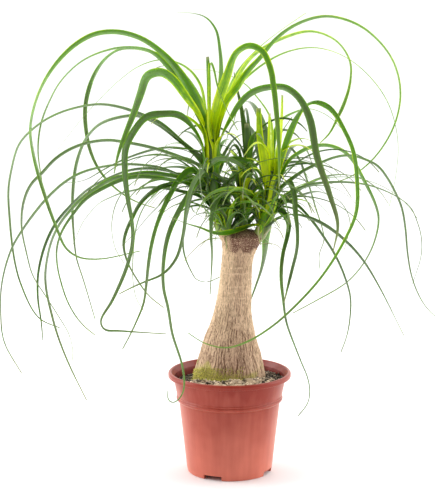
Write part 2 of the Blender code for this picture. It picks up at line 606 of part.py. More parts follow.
def arching_course(stem, order, share, heading, length, rise):
    """A leaf that leaves the stem at a rise and bends down steadily, in one upright plane."""
    rows = np.array(stem, float) / 1000
    root = stem_point(stem, rows[1, 2] + share * (rows[-1, 2] - rows[1, 2]), order)
    steps = np.linspace(0.0, 1.0, 12)
    angles = np.radians(rise - (rise + DROOP) * steps**1.35)
    stride = length / (len(steps) - 1)
    outward = np.concatenate(([0.0], np.cumsum(np.cos(angles[:-1]) * stride)))
    upward = np.concatenate(([0.0], np.cumsum(np.sin(angles[:-1]) * stride)))
    flat = np.array((math.cos(heading), math.sin(heading), 0.0))
    return root + outward[:, None] * flat + upward[:, None] * np.array((0.0, 0.0, 1.0))


def width_share(along, blunt):
    """Width along a blade: narrow in the stem, full soon after, then thinning to a thread."""
    root = np.clip(0.6 + along / 0.06 * 0.4, 0.0, 1.0)
    if blunt:
        return root * (1.0 - 0.35 * along**3)
    return root * np.clip(1.0 - along**1.9, 0.0, 1.0) ** 0.85


def blade(course, width, twist, blunt=False, swell=0.0):
    """A leaf's solid: rings of two edges and a keel, each turned by the twist, joined by triangles."""
    places, along = resampled(course)
    count = len(places)
    tangents = np.gradient(places, axis=0)
    tangents /= np.linalg.norm(tangents, axis=1)[:, None]
    reach = places - places[0]
    far = reach[np.argmax(np.hypot(reach[:, 0], reach[:, 1]))]
    heading = math.atan2(far[1], far[0])
    across = np.array((-math.sin(heading), math.cos(heading), 0.0))
    sides = across - (tangents @ across)[:, None] * tangents
    sides /= np.linalg.norm(sides, axis=1)[:, None]
    ups = np.cross(tangents, sides)
    turn = twist * (ROOT_TWIST + (1.0 - ROOT_TWIST) * np.clip(along / TWIST_END, 0.0, 1.0))
    edges = sides * np.cos(turn)[:, None] + ups * np.sin(turn)[:, None]
    crowns = ups * np.cos(turn)[:, None] - sides * np.sin(turn)[:, None]
    half = np.maximum(width * width_share(along, blunt), THREAD_WIDTH)[:, None] / 2 + swell / 2
    keel = np.maximum(2 * half * KEEL_SHARE, KEEL_LEAST) + swell
    face = places + crowns * swell / 2
    corners = (face - edges * half, face + edges * half, places - crowns * keel)
    points = np.stack(corners, axis=1).reshape(-1, 3)
    faces = [(0, 1, 2)]
    for ring in range(count - 1):
        for corner in range(3):
            a, b = 3 * ring + corner, 3 * ring + (corner + 1) % 3
            faces += [(a, a + 3, b), (b, a + 3, b + 3)]
    last = 3 * (count - 1)
    faces.append((last, last + 2, last + 1))
    return points, faces


def tree_of(points, faces):
    return BVHTree.FromPolygons([Vector(p) for p in points], faces)


def mesh_tree(mesh):
    mesh.calc_loop_triangles()
    return tree_of([v.co for v in mesh.vertices], [tuple(t.vertices) for t in mesh.loop_triangles])


def shifts():
    """Pairs of tip and belly shifts in metres, the smallest first."""
    span = range(-CLEAR_REACH, CLEAR_REACH + 1)
    pairs = sorted(((tip, belly) for tip in span for belly in span),
                   key=lambda pair: (abs(pair[0]) + 1.5 * abs(pair[1]), pair))
    return [(tip * CLEAR_STEP, belly * CLEAR_STEP) for tip, belly in pairs]


def beyond_root(points, faces):
    """The faces of a blade past its root, where it parts from its neighbours."""
    first = 3 * max(1, round(ROOT_SHARE * len(points) / 3))
    return [face for face in faces if min(face) >= first]


def clear_leaf(name, courses, width, twist, blunt, obstacles, siblings):
    """A blade on the first course that, swollen a little, touches no obstacle.

    One that also clears its own shoot's other blades, past their roots, is preferred.
    """
    fallback = None
    for attempt, course in enumerate(courses):
        points, faces = blade(course, width, twist, blunt, CLEAR_WIDTH)
        tree = tree_of(points, faces)
        if any(tree.overlap(obstacle) for obstacle in obstacles):
            continue
        outer = tree_of(points, beyond_root(points, faces))
        if not any(outer.overlap(sibling) for sibling in siblings):
            return blade(course, width, twist, blunt)
        fallback = course if fallback is None else fallback
        if attempt > OWN_TRIES:
            break
    if fallback is None:
        raise ValueError(name + " finds no clear course")
    return blade(fallback, width, twist, blunt)


def stem_mesh(name, stem, group):
    """A stem as a bevelled curve with a radius at each point, made a closed mesh."""
    curve = bpy.data.curves.new(name, "CURVE")
    curve.dimensions = "3D"
    curve.bevel_depth = 0.001
    curve.bevel_resolution = 2
    curve.use_fill_caps = True
    line = curve.splines.new("POLY")
    line.points.add(len(stem) - 1)
    for point, (x, y, z, radius) in zip(line.points, stem):
        point.co = (x / 1000, y / 1000, z / 1000, 1.0)
        point.radius = radius
    thing = bpy.data.objects.new(name, curve)
    group.objects.link(thing)
    mesh = evaluated_mesh(thing)
    bpy.data.objects.remove(thing, do_unlink=True)
    return weld(mesh)


def keep_largest(mesh):
    """Drop loose scraps, so that one body is left."""
    shape = bmesh.new()
    shape.from_mesh(mesh)
    unseen = set(shape.verts)
    bodies = []
    while unseen:
        body = set()
        front = [next(iter(unseen))]
        while front:
            vertex = front.pop()
            if vertex in body:
                continue
            body.add(vertex)
            front += [edge.other_vert(vertex) for edge in vertex.link_edges]
        unseen -= body
        bodies.append(body)
    largest = max(bodies, key=len)
    bmesh.ops.delete(shape, geom=[v for v in shape.verts if v not in largest], context="VERTS")
    shape.to_mesh(mesh)
    shape.free()


def traced_leaves(shoot, obstacles):
    """The blades of a shoot that the photograph shows, whole ones first and then those cut off."""
    blades = []
    siblings = []
    for leaves, blunt in ((shoot["seen"], False), (shoot["cut_off"], True)):
        for name, (width, depth, twist, trace) in leaves.items():
            order = len(blades)
            courses = (seen_course(shoot["stem"], order, trace, depth / 100 + tip, belly)
                       for tip, belly in shifts())
            shape = clear_leaf(name, courses, width / 1000, math.radians(twist), blunt, obstacles, siblings)
            blades.append(shape)
            siblings.append(tree_of(shape[0], beyond_root(*shape)))
    return blades


def ruled_leaves(shoot, older, obstacles):
    """The blades of a shoot that hide in it, placed round the stem by a rule."""
    rule = shoot["rule"]
    blades = []
    siblings = [tree_of(points, beyond_root(points, faces)) for points, faces in older]
    for index in range(rule["count"]):
        order = len(older) + index
        share = index / (rule["count"] - 1)
        heading = rule["heading"] + index * rule["step"]
        length = rule["lengths"][0] + share * (rule["lengths"][1] - rule["lengths"][0])
        rise = rule["rises"][0] + share * (rule["rises"][1] - rule["rises"][0])
        courses = (arching_course(shoot["stem"], order, share, math.radians(heading + turn), length * cut,
                                  rise + lift)
                   for cut in (1.0, 0.75) for lift in (0, 8, -8) for turn in TURNS)
        shape = clear_leaf(f"leaf {order}", courses, rule["width"], 0.0, False, obstacles, siblings)
        blades.append(shape)
        siblings.append(tree_of(shape[0], beyond_root(*shape)))
    return blades


def make_shoot(name, stem, blades, parts, colour):
    """One shoot: its stem and blades, fused by one Boolean union on their collection."""
    loose = new_collection(name + " leaves")
    for index, (points, faces) in enumerate(blades):
        new_object(f"{name}_leaf_{index + 1}", mesh_from(f"{name} leaf", points, faces), loose)
    shoot = new_object(name, stem_mesh(name, stem, parts), parts)
    union = shoot.modifiers.new("fuse", "BOOLEAN")
    union.operation = "UNION"
    union.operand_type = "COLLECTION"
    union.collection = loose
    union.solver = "MANIFOLD"
    mesh = evaluated_mesh(shoot)
    shoot.modifiers.clear()
    shoot.data = mesh
    keep_largest(mesh)
    mesh.materials.clear()
    mesh.materials.append(new_material(name + " leaves", colour, 0.45))
    for leaf in list(loose.objects):
        bpy.data.objects.remove(leaf, do_unlink=True)
    bpy.data.collections.remove(loose)


def main():
    clear_scene()
    parts = new_collection("potted ponytail palm")
    cutters = new_collection("cutters")
    pot = make_pot(parts, cutters)
    soil = make_soil(parts, cutters)
    trunk = make_trunk(parts, cutters)
    fixed = [mesh_tree(thing.data) for thing in (pot, soil, trunk)]
    stem_trees = {name: mesh_tree(stem_mesh(name + " guide", shoot["stem"], parts))
                  for name, shoot in SHOOTS.items()}
    blades = {name: [] for name in SHOOTS}
    trees = {name: [stem_trees[name]] for name in SHOOTS}
    for stage in ("traced", "ruled"):
        for name, shoot in SHOOTS.items():
            obstacles = fixed + [tree for other in SHOOTS if other != name for tree in trees[other]]
            if stage == "traced":
                found = traced_leaves(shoot, obstacles)
            else:
                found = ruled_leaves(shoot, blades[name], obstacles)
            blades[name] += found
            trees[name] += [tree_of(*shape) for shape in found]
    for name, shoot in SHOOTS.items():
        make_shoot(name, shoot["stem"], blades[name], parts, shoot["colour"])


main()
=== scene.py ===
import math

import bpy
import numpy as np
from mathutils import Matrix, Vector


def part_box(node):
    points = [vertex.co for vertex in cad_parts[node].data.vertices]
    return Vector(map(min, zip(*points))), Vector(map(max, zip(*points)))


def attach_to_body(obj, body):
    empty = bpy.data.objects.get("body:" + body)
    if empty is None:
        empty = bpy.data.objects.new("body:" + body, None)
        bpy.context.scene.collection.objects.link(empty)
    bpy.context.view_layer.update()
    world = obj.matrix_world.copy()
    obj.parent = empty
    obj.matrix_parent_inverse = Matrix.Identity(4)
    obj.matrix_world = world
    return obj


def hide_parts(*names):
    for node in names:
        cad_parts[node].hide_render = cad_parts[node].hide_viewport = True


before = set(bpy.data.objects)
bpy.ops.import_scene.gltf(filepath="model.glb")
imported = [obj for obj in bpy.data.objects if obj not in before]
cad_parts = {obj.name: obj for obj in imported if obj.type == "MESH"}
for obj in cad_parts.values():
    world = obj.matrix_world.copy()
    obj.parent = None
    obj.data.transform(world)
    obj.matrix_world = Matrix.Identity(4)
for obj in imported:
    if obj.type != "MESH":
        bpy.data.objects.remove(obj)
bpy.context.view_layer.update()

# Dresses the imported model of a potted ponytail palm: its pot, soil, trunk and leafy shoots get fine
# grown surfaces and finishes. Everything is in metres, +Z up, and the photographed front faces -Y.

bl_info = {
    "name": "Potted Ponytail Palm",
    "version": (1, 0, 0),
    "blender": (4, 5, 0),
    "location": "3D View > Sidebar > Palm",
    "description": "Grows the surfaces of a ponytail palm in a nursery pot over its packed model",
    "category": "Add Mesh",
}

# The up direction
UP = np.array((0.0, 0.0, 1.0))

# Pot: heights from the surface that it stands on, radii from its axis
POT_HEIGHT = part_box("pot")[1][2]
WALL = 0.0018
LIP_RADIUS = 0.085
LIP_INNER_RADIUS = 0.0802
LIP_BOTTOM = 0.1338
LIP_ROUND = 0.0030
LIP_UNDER_ROUND = 0.0012
LIP_EDGE_ROUND = 0.0015
NECK_ROUND = 0.0006
UPPER_WALL_RADIUS = 0.0778
RIDGE_RADIUS = 0.0738
RIDGE_HEIGHT = 0.1035
RIDGE_TOP = 0.1085
RIDGE_TOP_RADIUS = 0.0730
RIDGE_ROUND = 0.0028
RIDGE_FOOT = 0.1000
RIDGE_FOOT_RADIUS = 0.0700
FOOT_RADIUS = 0.0583
FOOT_RING_INNER_RADIUS = 0.0525
FOOT_RING_DRAFT = 0.0008
FOOT_BAND_TOP = 0.0060
FOOT_BAND_PROUD = 0.0012
FOOT_CHAMFER = 0.0008
FLOOR_UNDERSIDE = 0.0075
FLOOR_TOP = FLOOR_UNDERSIDE + WALL
FLOOR_ROUND = 0.002
AXIS_GAP = 0.001
NOTCH_HEIGHT = 0.0064
NOTCH_WIDTH = 0.0265
NOTCH_DEPTH = 0.016
NOTCH_TURN = math.radians(-24)
NOTCH_COUNT = 4
DRAIN_COUNT = 6
DRAIN_RADIUS = 0.005
DRAIN_CIRCLE = 0.038
DRAIN_STEPS = 32

# How the ridge blends into the wall: by a hollow above it and an eased edge below it
HOLLOW_ROUND = 0.0017
HOLLOW_OUT = 0.0016
HOLLOW_UP = 0.0006
HOLLOW_START = 0.0008
RIDGE_EASE = 0.0004
UNDER_RIDGE_IN = 0.0012
UNDER_RIDGE_DOWN = 0.0022

# Edges that turn by more degrees than these stay sharp
POT_SHARP = 38
SOIL_SHARP = 70
CHIP_SHARP = 30
LEAF_SHARP = 60
FLOOR_SHARP = 30

# Soil: its surface is highest at the front and right, and humped round the trunk
SOIL_LEVEL = 0.1275
SOIL_SLOPE = 0.0045
SOIL_BUMP = 0.0007
SOIL_WAVES = (190, 230, 330)
CRUMB_SIZE = 0.0065
GRIT_SIZE = 0.0016
SOIL_HUMP = 0.002
SOIL_HUMP_RADIUS = 0.052
SOIL_HUMP_WIDTH = 0.010
SOIL_GAP = 0.0003
SOIL_MOUND = 0.0085
SOIL_MOUND_AT_WALL = 0.0048
MOUND_LEAN = 0.045
MOUND_LEAN_REACH = 0.004
FRONT_HALF = (0.002, 0.044)
PALE_FRONT = (0.020, 0.045)
HOLE_DROP = 0.003
WALL_DROP = 0.004
SETTLING = 0.002
SOIL_RINGS = 56
SOIL_STEPS = 400

# Bark chips: where they lie from the axis, their tilt, their sizes as shares of a large chip's length,
# how far they lie out of the crumbs, how many of them are pale towards the front, and their tones
CHIPS_FROM = 0.0525
CHIPS_TO = 0.0735
CHIP_TILT = 0.45
CHIP_LENGTHS = (0.28, 1.0)
CHIP_SMALLNESS = 1.3
CHIP_BREADTHS = (0.35, 0.8)
CHIP_THICKNESSES = (0.18, 0.45)
CHIP_SEAT = 0.3
PALE_BEHIND = 0.15
PALE_GAINED = 0.69
PALE_OVER = (0.015, 0.050)
PALE_TONES = (0.55, 1.0)
DARK_TONES = (0.0, 0.42)
CHIP_SEED = 58

# Trunk: height, radius and sideways lean of its outline, from its base in the soil to its cut top
TRUNK_OUTLINE = np.array((
    (0.0950, 0.0455, 0.0000),
    (0.1200, 0.0488, 0.0000),
    (0.1336, 0.0495, 0.0002),
    (0.1592, 0.0446, 0.0007),
    (0.1876, 0.0361, 0.0012),
    (0.2201, 0.0272, 0.0038),
    (0.2496, 0.0237, 0.0068),
    (0.2819, 0.0218, 0.0091),
    (0.3028, 0.0221, 0.0114),
    (0.3140, 0.0240, 0.0138),
    (0.3225, 0.0270, 0.0148),
    (0.3285, 0.0296, 0.0146),
    (0.3330, 0.0290, 0.0144),
    (0.3370, 0.0235, 0.0140),
))
TRUNK_TOP = 0.3405
TRUNK_SOIL_LINE = 0.136
SOIL_BAND = (0.125, 0.140)
FISSURE_COUNT = 13
FISSURE_FADE = 0.02
CALLUS_BOTTOM = 0.314
CALLUS_FULL = 0.3285
CALLUS_SWELL = 0.0016
CALLUS_LUMPS = 0.0024
CALLUS_LUMP_SIZE = 0.006
CALLUS_FOOT = 0.309
CALLUS_ALL_ROUND = (0.332, 0.336)
CALLUS_WAVER = 0.018
CALLUS_WAVER_SIZE = 0.007
BARK_LUMPS = 0.0007
BARK_LUMP_SIZE = 0.012
TOP_LUMPS = 0.0022
NECK_RISE = (0.200, 0.262)
NECK_FADE = (0.310, 0.318)
BARK_RADIUS = 0.025
TRUNK_STEPS = 400
TRUNK_SIDE_RINGS = 226
DOME_RINGS = 13
DOME_END = 0.04
SCAR_RELIEF = 0.0006
SCAR_WAVER = 0.0016
SCAR_WAVER_SIZE = 0.010
SCAR_GAP_SIZE = 0.012
SCAR_WIDTH = 0.00075
SCAR_HEIGHTS = (0.2230, 0.2315, 0.2405, 0.2480, 0.2560, 0.2640, 0.2735, 0.2815, 0.2900, 0.2995, 0.3080)

# Bark cracks, coarse and fine: lines round the trunk, how many lines' breadths they sway, the length
# of a sway, a crack's share of its line's breadth, its depth's share and the seed of its noise
CRACK_SETS = (
    (60, 1.1, 0.024, 0.15, 1.0, 11),
    (98, 1.4, 0.012, 0.20, 0.8, 12),
)

# Tints low on the trunk: where its pink fades, how high the moss reaches and how ragged its edge is
PINK_FADE = (0.165, 0.235)
MOSS_RISE = 0.014
MOSS_REACH = 0.024
MOSS_REACH_SIZE = 0.006
MOSS_PATCH_SIZE = 0.013
MOSS_FULL_BELOW = 0.003
MOSS_GONE_ABOVE = 0.007

# Moss tufts: the turn that they gather at and their spread, the cushions that they clump in, their
# place on the trunk or beside it, how they climb and lean, and their size
MOSS_TURN = -0.85
MOSS_SPREAD = 0.75
FIRST_CUSHION = -1.9
CUSHION_STEP = 0.32
CUSHION_COUNT = 9
CUSHION_SPREAD = 0.05
MOSS_RADIUS = 0.0496
MOSS_STRAY = 0.0022
TUFTS_ON_TRUNK = 0.6
TUFT_CLIMB = 0.016
TUFT_LOWNESS = 1.5
TUFT_SINK = 0.0006
TUFT_DEPTH = 0.0008
TUFT_LEANS = (0.3, 1.3)
TUFT_HEIGHTS = (0.0016, 0.0042)
TUFT_BREADTH = 0.32
MOSS_SEED = 77

# The finishes' grain in repeats a metre: one number, or three along X, Y and Z
CLOUD_GRAIN = 14.0
DRAW_GRAIN = (90.0, 90.0, 4.0)
SCUFF_GRAIN = (60.0, 60.0, 90.0)
PEEL_GRAIN = 420.0
FILM_GRAIN = 38.0
SOIL_GRAIN = 520.0
CLUMP_GRAIN = 150.0
CHIP_GRAIN = (700.0, 260.0, 500.0)
FIBRE_GRAIN = (900.0, 900.0, 170.0)
PATCH_GRAIN = (70.0, 70.0, 30.0)
SPECK_GRAIN = 900.0
MOSS_GRAIN = 260.0
MOTTLE_GRAIN = 95.0

# The depth of each finish's fine relief
PEEL_RELIEF = 0.00004
FILM_RELIEF = 0.0003
SOIL_RELIEF = 0.0012
CHIP_RELIEF = 0.0004
BARK_RELIEF = 0.0009
VEIN_RELIEF = 0.00025

# Viewpoint of the photograph, which turns a point seen in it and a depth into a place
PHOTO_WIDTH = 435
PHOTO_HEIGHT = 495
VIEWPOINT = np.array((-0.0167, -2.4, 0.746))
VIEW_PITCH = math.radians(10.19)
VIEW_FOCAL_PIXELS = 1782.0
SENSOR_HEIGHT = 36.0
CAMERA_REACH = 200.0

# Studio: the floor's disc and colour, which side of the surround is dim, and each light's place, size
# and power
FLOOR_START = 0.05
FLOOR_RINGS = 24
FLOOR_STEPS = 96
FLOOR_COLOUR = (0.93, 0.93, 0.93)
FLOOR_GAP = 0.0002
FLOOR_DEPTH = 0.05
SURROUND_FADE = (-0.85, 0.0)
LIGHT_AIM = (0.0, 0.0, 0.3)
LIGHTS = (
    ("left light", (-2.0, 0.25, 0.9), (1.2, 1.8), "key"),
    ("right light", (2.0, 0.30, 0.9), (1.2, 1.8), "fill"),
    ("top light", (0.0, 0.5, 2.4), (2.2, 1.6), "top"),
)

# Stems of the shoots, foot to tip: places and radii in millimetres
TALL_STEM = ((-4, 4, 322, 6), (-13, 4, 338, 6.5), (-16, 4, 352, 6.5), (-18, 3, 373, 8),
             (-22, 2, 397, 10), (-25, 1, 422, 10), (-25, 0, 446, 7), (-25, 0, 464, 4))
RIGHT_STEM = ((29, -3, 321, 6.5), (41, -3, 334, 8), (46, -3, 346, 8), (51, -2, 362, 8.5),
              (54, -1, 380, 8.5), (56, 0, 397, 6.5), (57, 0, 420, 3.5))
MIDDLE_STEM = ((17, 3, 323, 5.5), (18, 3, 344, 6), (18.5, 4, 364, 6.5), (18.5, 4, 380, 5.5),
               (20, 4, 398, 3.5))
SMALL_STEM = ((3, -13, 323, 4), (-2, -18, 338, 4.5), (-4, -20, 354, 3))
BACK_STEM = ((11, 18, 323, 5.5), (13, 24, 345, 6), (17, 24, 375, 6.5), (22, 24, 400, 6),
             (26, 24, 425, 4.5), (27, 24, 444, 3))

# Leaves seen in the photograph. Each has its width in millimetres, how far its tip hangs behind the
# trunk (before it, below zero) in centimetres, how far its blade turns to the front in degrees, its
# tone from young (0) to dark (1), and its course from stem to tip in the photograph's pixels.
TALL_LEAVES = {
    "left_hoop": (13, -10, 62, 0.35, "211,158 206,130 195,100 184,80 168,60 157,50 142,40 118,33 95,35 "
        "75,46 57,64 45,82 36,103 31,130 34,154 42,185 57,228 67,249 79,257 97,259 140,251"),
    "left_hoop_inner": (10, 9, 30, 0.38, "209,150 200,120 190,100 170,70 150,52 125,48 100,53 80,63 "
        "60,83 50,101 41,125 38,150 42,182"),
    "left_crook": (9, 17, 40, 0.38, "210,150 203,118 190,88 172,66 150,52 120,50 108,57 95,74 88,92 "
        "85,110 86,130 90,150 98,168 107,180 120,192 137,202 155,208"),
    "left_thread": (5, 11, 20, 0.3, "212,150 205,110 200,85 188,69 165,60 140,66 120,80 100,99 80,121 "
        "56,152"),
    "left_narrow": (10, -14, 55, 0.33, "209,145 200,118 188,100 170,77 160,72 147,76 140,95 133,115 "
        "125,135 118,155 114,174"),
    "folded": (13, -20, 50, 0.5, "207,158 192,127 178,114 160,113 146,116 133,131 125,148 124,170 "
        "127,200 131,222 132,240 127,264 112,300 100,323 104,330 118,331 167,334"),
    "far_left": (10, 6, 35, 0.55, "206,165 200,157 180,140 160,124 140,115 120,108 100,105 70,110 50,118 "
        "35,128 20,144 12,170 9,190 10,216 15,261 21,284 40,319 60,328"),
    "left_down": (10, 19, 50, 0.6, "208,168 200,158 180,141 160,126 140,117 120,118 100,125 88,137 "
        "78,160 73,199 74,233 77,259 83,278 95,319"),
    "far_left_low": (9, 3, 20, 0.6, "205,185 190,180 175,173 160,168 145,166 125,165 100,168 80,174 "
        "66,182 48,198 21,233 12,249 2,285 1,313 4,341 22,374"),
    "left_mid": (7, -5, 15, 0.65, "208,165 200,152 190,150 170,148 150,151 126,159 115,164 100,172 "
        "88,179 78,182 66,183"),
    "low_left_broad": (12, -8, 35, 0.55, "207,188 185,179 165,175 150,174 127,177 110,181 98,188 85,197 "
        "72,210 60,225 52,242 48,258 46,275 47,290 50,305 58,335 70,366 87,401"),
    "low_left_dark": (8, 8, 25, 0.75, "206,184 195,180 170,172 150,169 130,171 110,178 88,190 70,207 "
        "57,222 49,236 42,255 38,275 38,300 41,320 43,341"),
    "low_left_pale": (7, -15, 30, 0.45, "205,190 170,180 130,178 100,190 85,200 72,216 62,232 57,250 "
        "58,268 62,285 67,300 75,315 84,326 95,335"),
    "left_short_dark": (7, 13, 20, 0.62, "205,198 185,193 165,189 150,188 133,191 120,194 110,198 "
        "100,203 90,213 82,224 76,238 67,257"),
    "left_low": (10, -17, 45, 0.58, "205,172 190,172 178,182 160,187 148,194 138,205 132,217 126,230 "
        "123,245 127,262 137,280 149,296 164,308"),
    "front_left_low": (9, -23, 30, 0.48, "206,175 190,170 178,180 172,190 163,207 156,225 151,245 "
        "148,265 146,285 143,305 137,320 130,335 122,350"),
    "left_dark_line": (6, 10, 15, 0.85, "207,192 185,187 172,192 160,205 148,217 138,229 125,243 110,253 "
        "100,258 90,264"),
    "left_pale_line": (5, 18, 20, 0.5, "206,186 190,177 175,180 163,187 155,195 147,203 140,216 136,230 "
        "134,245 133,262 133,280 137,300 145,312"),
    "left_fine": (5, 20, 15, 0.6, "207,182 190,170 165,168 140,178 125,190 118,200 113,215 112,232 "
        "116,250 124,263"),
    "left_short_high": (7, 7, 15, 0.7, "206,172 200,167 185,161 170,159 160,160 150,164 143,169"),
    "top_left": (8, 12, 25, 0.36, "213,145 216,110 221,80 220,50 215,28 205,17 190,13 177,13"),
    "front_thread": (5, -7, 15, 0.3, "210,140 210,100 211,62 214,70 217,85 226,108 232,120 238,131"),
    "right_hook": (13, -8, 70, 0.30, "213,150 217,110 228,75 238,52 250,46 262,51 270,67 274,90 277,120 "
        "279,150 279,190"),
    "right_dark_hoop": (13, -11, 55, 0.45, "216,160 221,140 232,118 240,105 250,95 260,90 270,88 285,88 "
        "298,97 309,117 317,157 330,195 338,225 333,252"),
    "top_right_hoop": (10, 10, 40, 0.3, "213,140 225,103 237,88 248,72 262,57 275,41 295,26 325,17 "
        "355,24 375,38 393,62 400,92 394,125 372,160 350,177 330,184"),
    "top_thread": (4, 15, 10, 0.24, "215,130 225,100 237,73 260,47 280,31 306,13"),
    "right_thread": (5, 19, 15, 0.27, "216,140 230,98 250,75 285,53 315,48 345,57 375,83 390,108 398,145 "
        "395,180 389,207"),
    "top_right_crook": (9, 21, 35, 0.22, "214,135 228,100 250,60 285,38 313,32 338,43 350,63 350,82 "
        "345,101 337,119 329,134 320,143"),
    "behind_trunk": (5, 14, 10, 0.7, "210,178 200,180 193,192 188,210 184,230 183,245 185,257 191,271 "
        "197,280 207,282 220,277"),
}
RIGHT_LEAVES = {
    "over_trunk": (12, -13, 45, 0.34, "271,200 275,185 283,150 288,135 297,115 306,104 315,101 330,107 "
        "346,131 354,150 358,180 357,213 344,243 323,276 299,303 272,327 245,343 226,348 204,343 188,333"),
    "right_short_dark": (7, 9, 15, 0.32, "271,190 273,150 280,122 294,113 309,109 326,115 340,127 "
        "353,150"),
    "right_hoop": (10, 6, 35, 0.4, "273,205 280,180 290,160 300,153 311,148 325,146 340,150 350,158 "
        "363,180 375,205 378,217 371,249 350,279 317,300 293,313"),
    "far_right_high": (8, -6, 20, 0.6, "273,200 280,190 292,180 305,171 320,164 335,158 350,156 365,160 "
        "377,166 388,180 393,189 401,207 405,229 407,252 411,275 417,292 425,306 437,318 464,331"),
    "far_right_low": (7, 9, 15, 0.6, "273,205 290,193 312,185 330,183 350,183 370,186 387,192 400,199 "
        "410,207 417,222 421,237 421,255 417,270 410,288 398,302 384,312 371,319"),
    "right_fall": (7, -18, 15, 0.65, "270,222 280,218 290,215 305,217 320,223 333,231 344,240 356,252 "
        "366,265 378,285 386,300 404,336"),
    "right_steep": (8, -10, 25, 0.65, "272,208 285,200 297,205 311,220 323,237 335,256 344,276 350,297 "
        "350,315 347,335 341,352"),
    "right_drop": (6, 15, 15, 0.55, "272,190 278,160 287,147 298,158 304,173 310,190 316,210 322,228 "
        "324,240 319,255 320,270"),
    "right_hang": (10, -15, 40, 0.6, "272,206 282,188 290,182 295,195 296,210 298,230 297,250 292,270 "
        "287,290 284,303"),
    "pot_side": (9, -22, 35, 0.6, "270,215 280,210 289,222 288,235 284,252 282,276 284,300 287,322 "
        "295,345 302,363 308,378 310,390 308,403 298,416"),
    "right_thin_hoop": (6, 17, 15, 0.7, "272,210 285,200 300,196 318,192 330,196 342,204 350,226 344,250"),
    "over_pot": (13, -11, 65, 0.45, "268,207 265,190 262,178 255,168 245,160 233,157 220,160 208,167 "
        "198,178 190,190 180,207 171,225 166,240 163,258 162,275 163,290 167,306 172,335 177,350 181,362 "
        "184,380 183,392 177,401 172,403 168,400 168,390"),
    "front_arch": (12, -15, 45, 0.5, "268,210 256,185 243,168 228,160 218,160 205,170 195,182 190,195 "
        "187,210 185,228 182,243 177,258 168,270 160,276 147,281 135,286 119,294"),
    "long_left": (10, -5, 25, 0.6, "269,206 258,203 245,196 230,187 218,177 205,169 190,162 175,156 "
        "150,148 125,143 110,141 90,143 70,150 55,160 42,174 32,184 25,199 22,225 27,253 33,275 46,296 "
        "58,315 69,334 73,351 72,364"),
    "across_trunk": (10, -9, 40, 0.37, "265,222 255,225 244,229 223,234 212,233 200,228 187,224 168,216"),
    "pale_left": (9, -6, 40, 0.36, "269,208 258,198 245,192 230,189 215,192 206,198 200,206 196,214"),
    "by_trunk": (9, 12, 20, 0.52, "268,218 267,228 266,240 265,255 261,272 256,286 250,302 244,318"),
    "thin_up_left": (4, 12, 10, 0.22, "271,190 272,150 270,118 255,95 246,85 225,74 205,70 183,70"),
    "dark_back": (7, 13, 30, 0.28, "272,190 277,150 283,130 292,117"),
    "inner_left": (6, 14, 15, 0.7, "268,200 262,160 256,133 248,141 240,150 233,160 226,172 222,182"),
}
MIDDLE_LEAVES = {
    "front_hang": (7, -20, 10, 0.55, "241,205 234,195 224,193 216,202 212,216 211,235 212,258 210,295"),
}
SMALL_LEAVES = {
    "curl": (5, -5, 15, 0.42, "226,224 214,222 209,213 200,206 191,206 194,212 203,217"),
}
BACK_LEAVES = {
    "dark_spear": (9, 4, 60, 0.6, "248,175 246,140 241,105 237,88 234,72"),
}

# How broad some blades show themselves in the photograph, in millimetres, at these shares of their
# length: a blade that shows less than its own width is turned away, and one that shows more is broader
SHOWN_SHARES = (0.14, 0.28, 0.42, 0.58, 0.72, 0.88)
SHOWN_WIDTHS = {
    "left_hoop": (16, 8, 6.5, 3, 5.5, 2.5), "left_hoop_inner": (13, 9, 3, 2, 2, 2.5),
    "left_crook": (12, 7, 3, 7, 6, 3), "left_narrow": (10, 11, 12.5, 13, 10, 6),
    "folded": (7, 11, 9.5, 5.5, 5, 2), "far_left": (6, 4, 2, 2, 4, 2.5),
    "left_down": (6, 5.5, 3.5, 5, 4, 2), "low_left_broad": (6, 7, 5, 3, 3, 2),
    "low_left_dark": (5, 3, 3, 5, 4, 3), "low_left_pale": (6, 6, 6, 4, 2, 2),
    "left_low": (8, 6, 5.5, 4.5, 3, 2), "front_left_low": (9, 7.5, 5, 5, 4.5, 2.5),
    "right_hook": (18, 15, 9, 9, 8, 5), "right_dark_hoop": (11, 8.5, 9, 11, 10, 6),
    "top_right_hoop": (12, 6, 3.5, 2.5, 3.5, 2), "top_right_crook": (8, 5, 5, 2.5, 3, 6),
    "over_trunk": (12, 6, 5.5, 4.5, 3.5, 2), "right_hoop": (8, 4.5, 6, 2.5, 2, 2),
    "right_steep": (8, 3.5, 3, 3, 2, 1.5), "right_hang": (11, 9, 9, 5, 5, 4.5),
    "over_pot": (5, 6, 8, 5.5, 4.5, 2.5), "front_arch": (5, 6, 8.5, 5, 4, 3),
    "pot_side": (9, 5, 4.5, 3, 2.5, 1.5), "far_left_low": (4, 2.5, 4, 3, 2.5, 2),
}
LEAST_SHOWN = 0.22
TURN_SOFTNESS = 22

# Leaves drawn at random round each stem, from and to: where on the stem they start, their length, their
# rise in degrees, their width, their tone, and how withered they are
WILD_KINDS = (
    {"share": (0.02, 0.60), "length": (0.050, 0.125), "rise": (26, 76), "width": (0.0032, 0.0056),
     "tone": (0.30, 0.86), "withered": 0.0},
    {"share": (0.02, 0.60), "length": (0.130, 0.235), "rise": (28, 66), "width": (0.0026, 0.0042),
     "tone": (0.34, 0.88), "withered": 0.0},
    {"share": (0.45, 0.98), "length": (0.060, 0.120), "rise": (76, 90), "width": (0.0040, 0.0066),
     "tone": (0.08, 0.34), "withered": 0.0},
    {"share": (-0.05, 0.15), "length": (0.030, 0.090), "rise": (-5, 45), "width": (0.0012, 0.0022),
     "tone": (0.40, 0.60), "withered": 0.9},
)

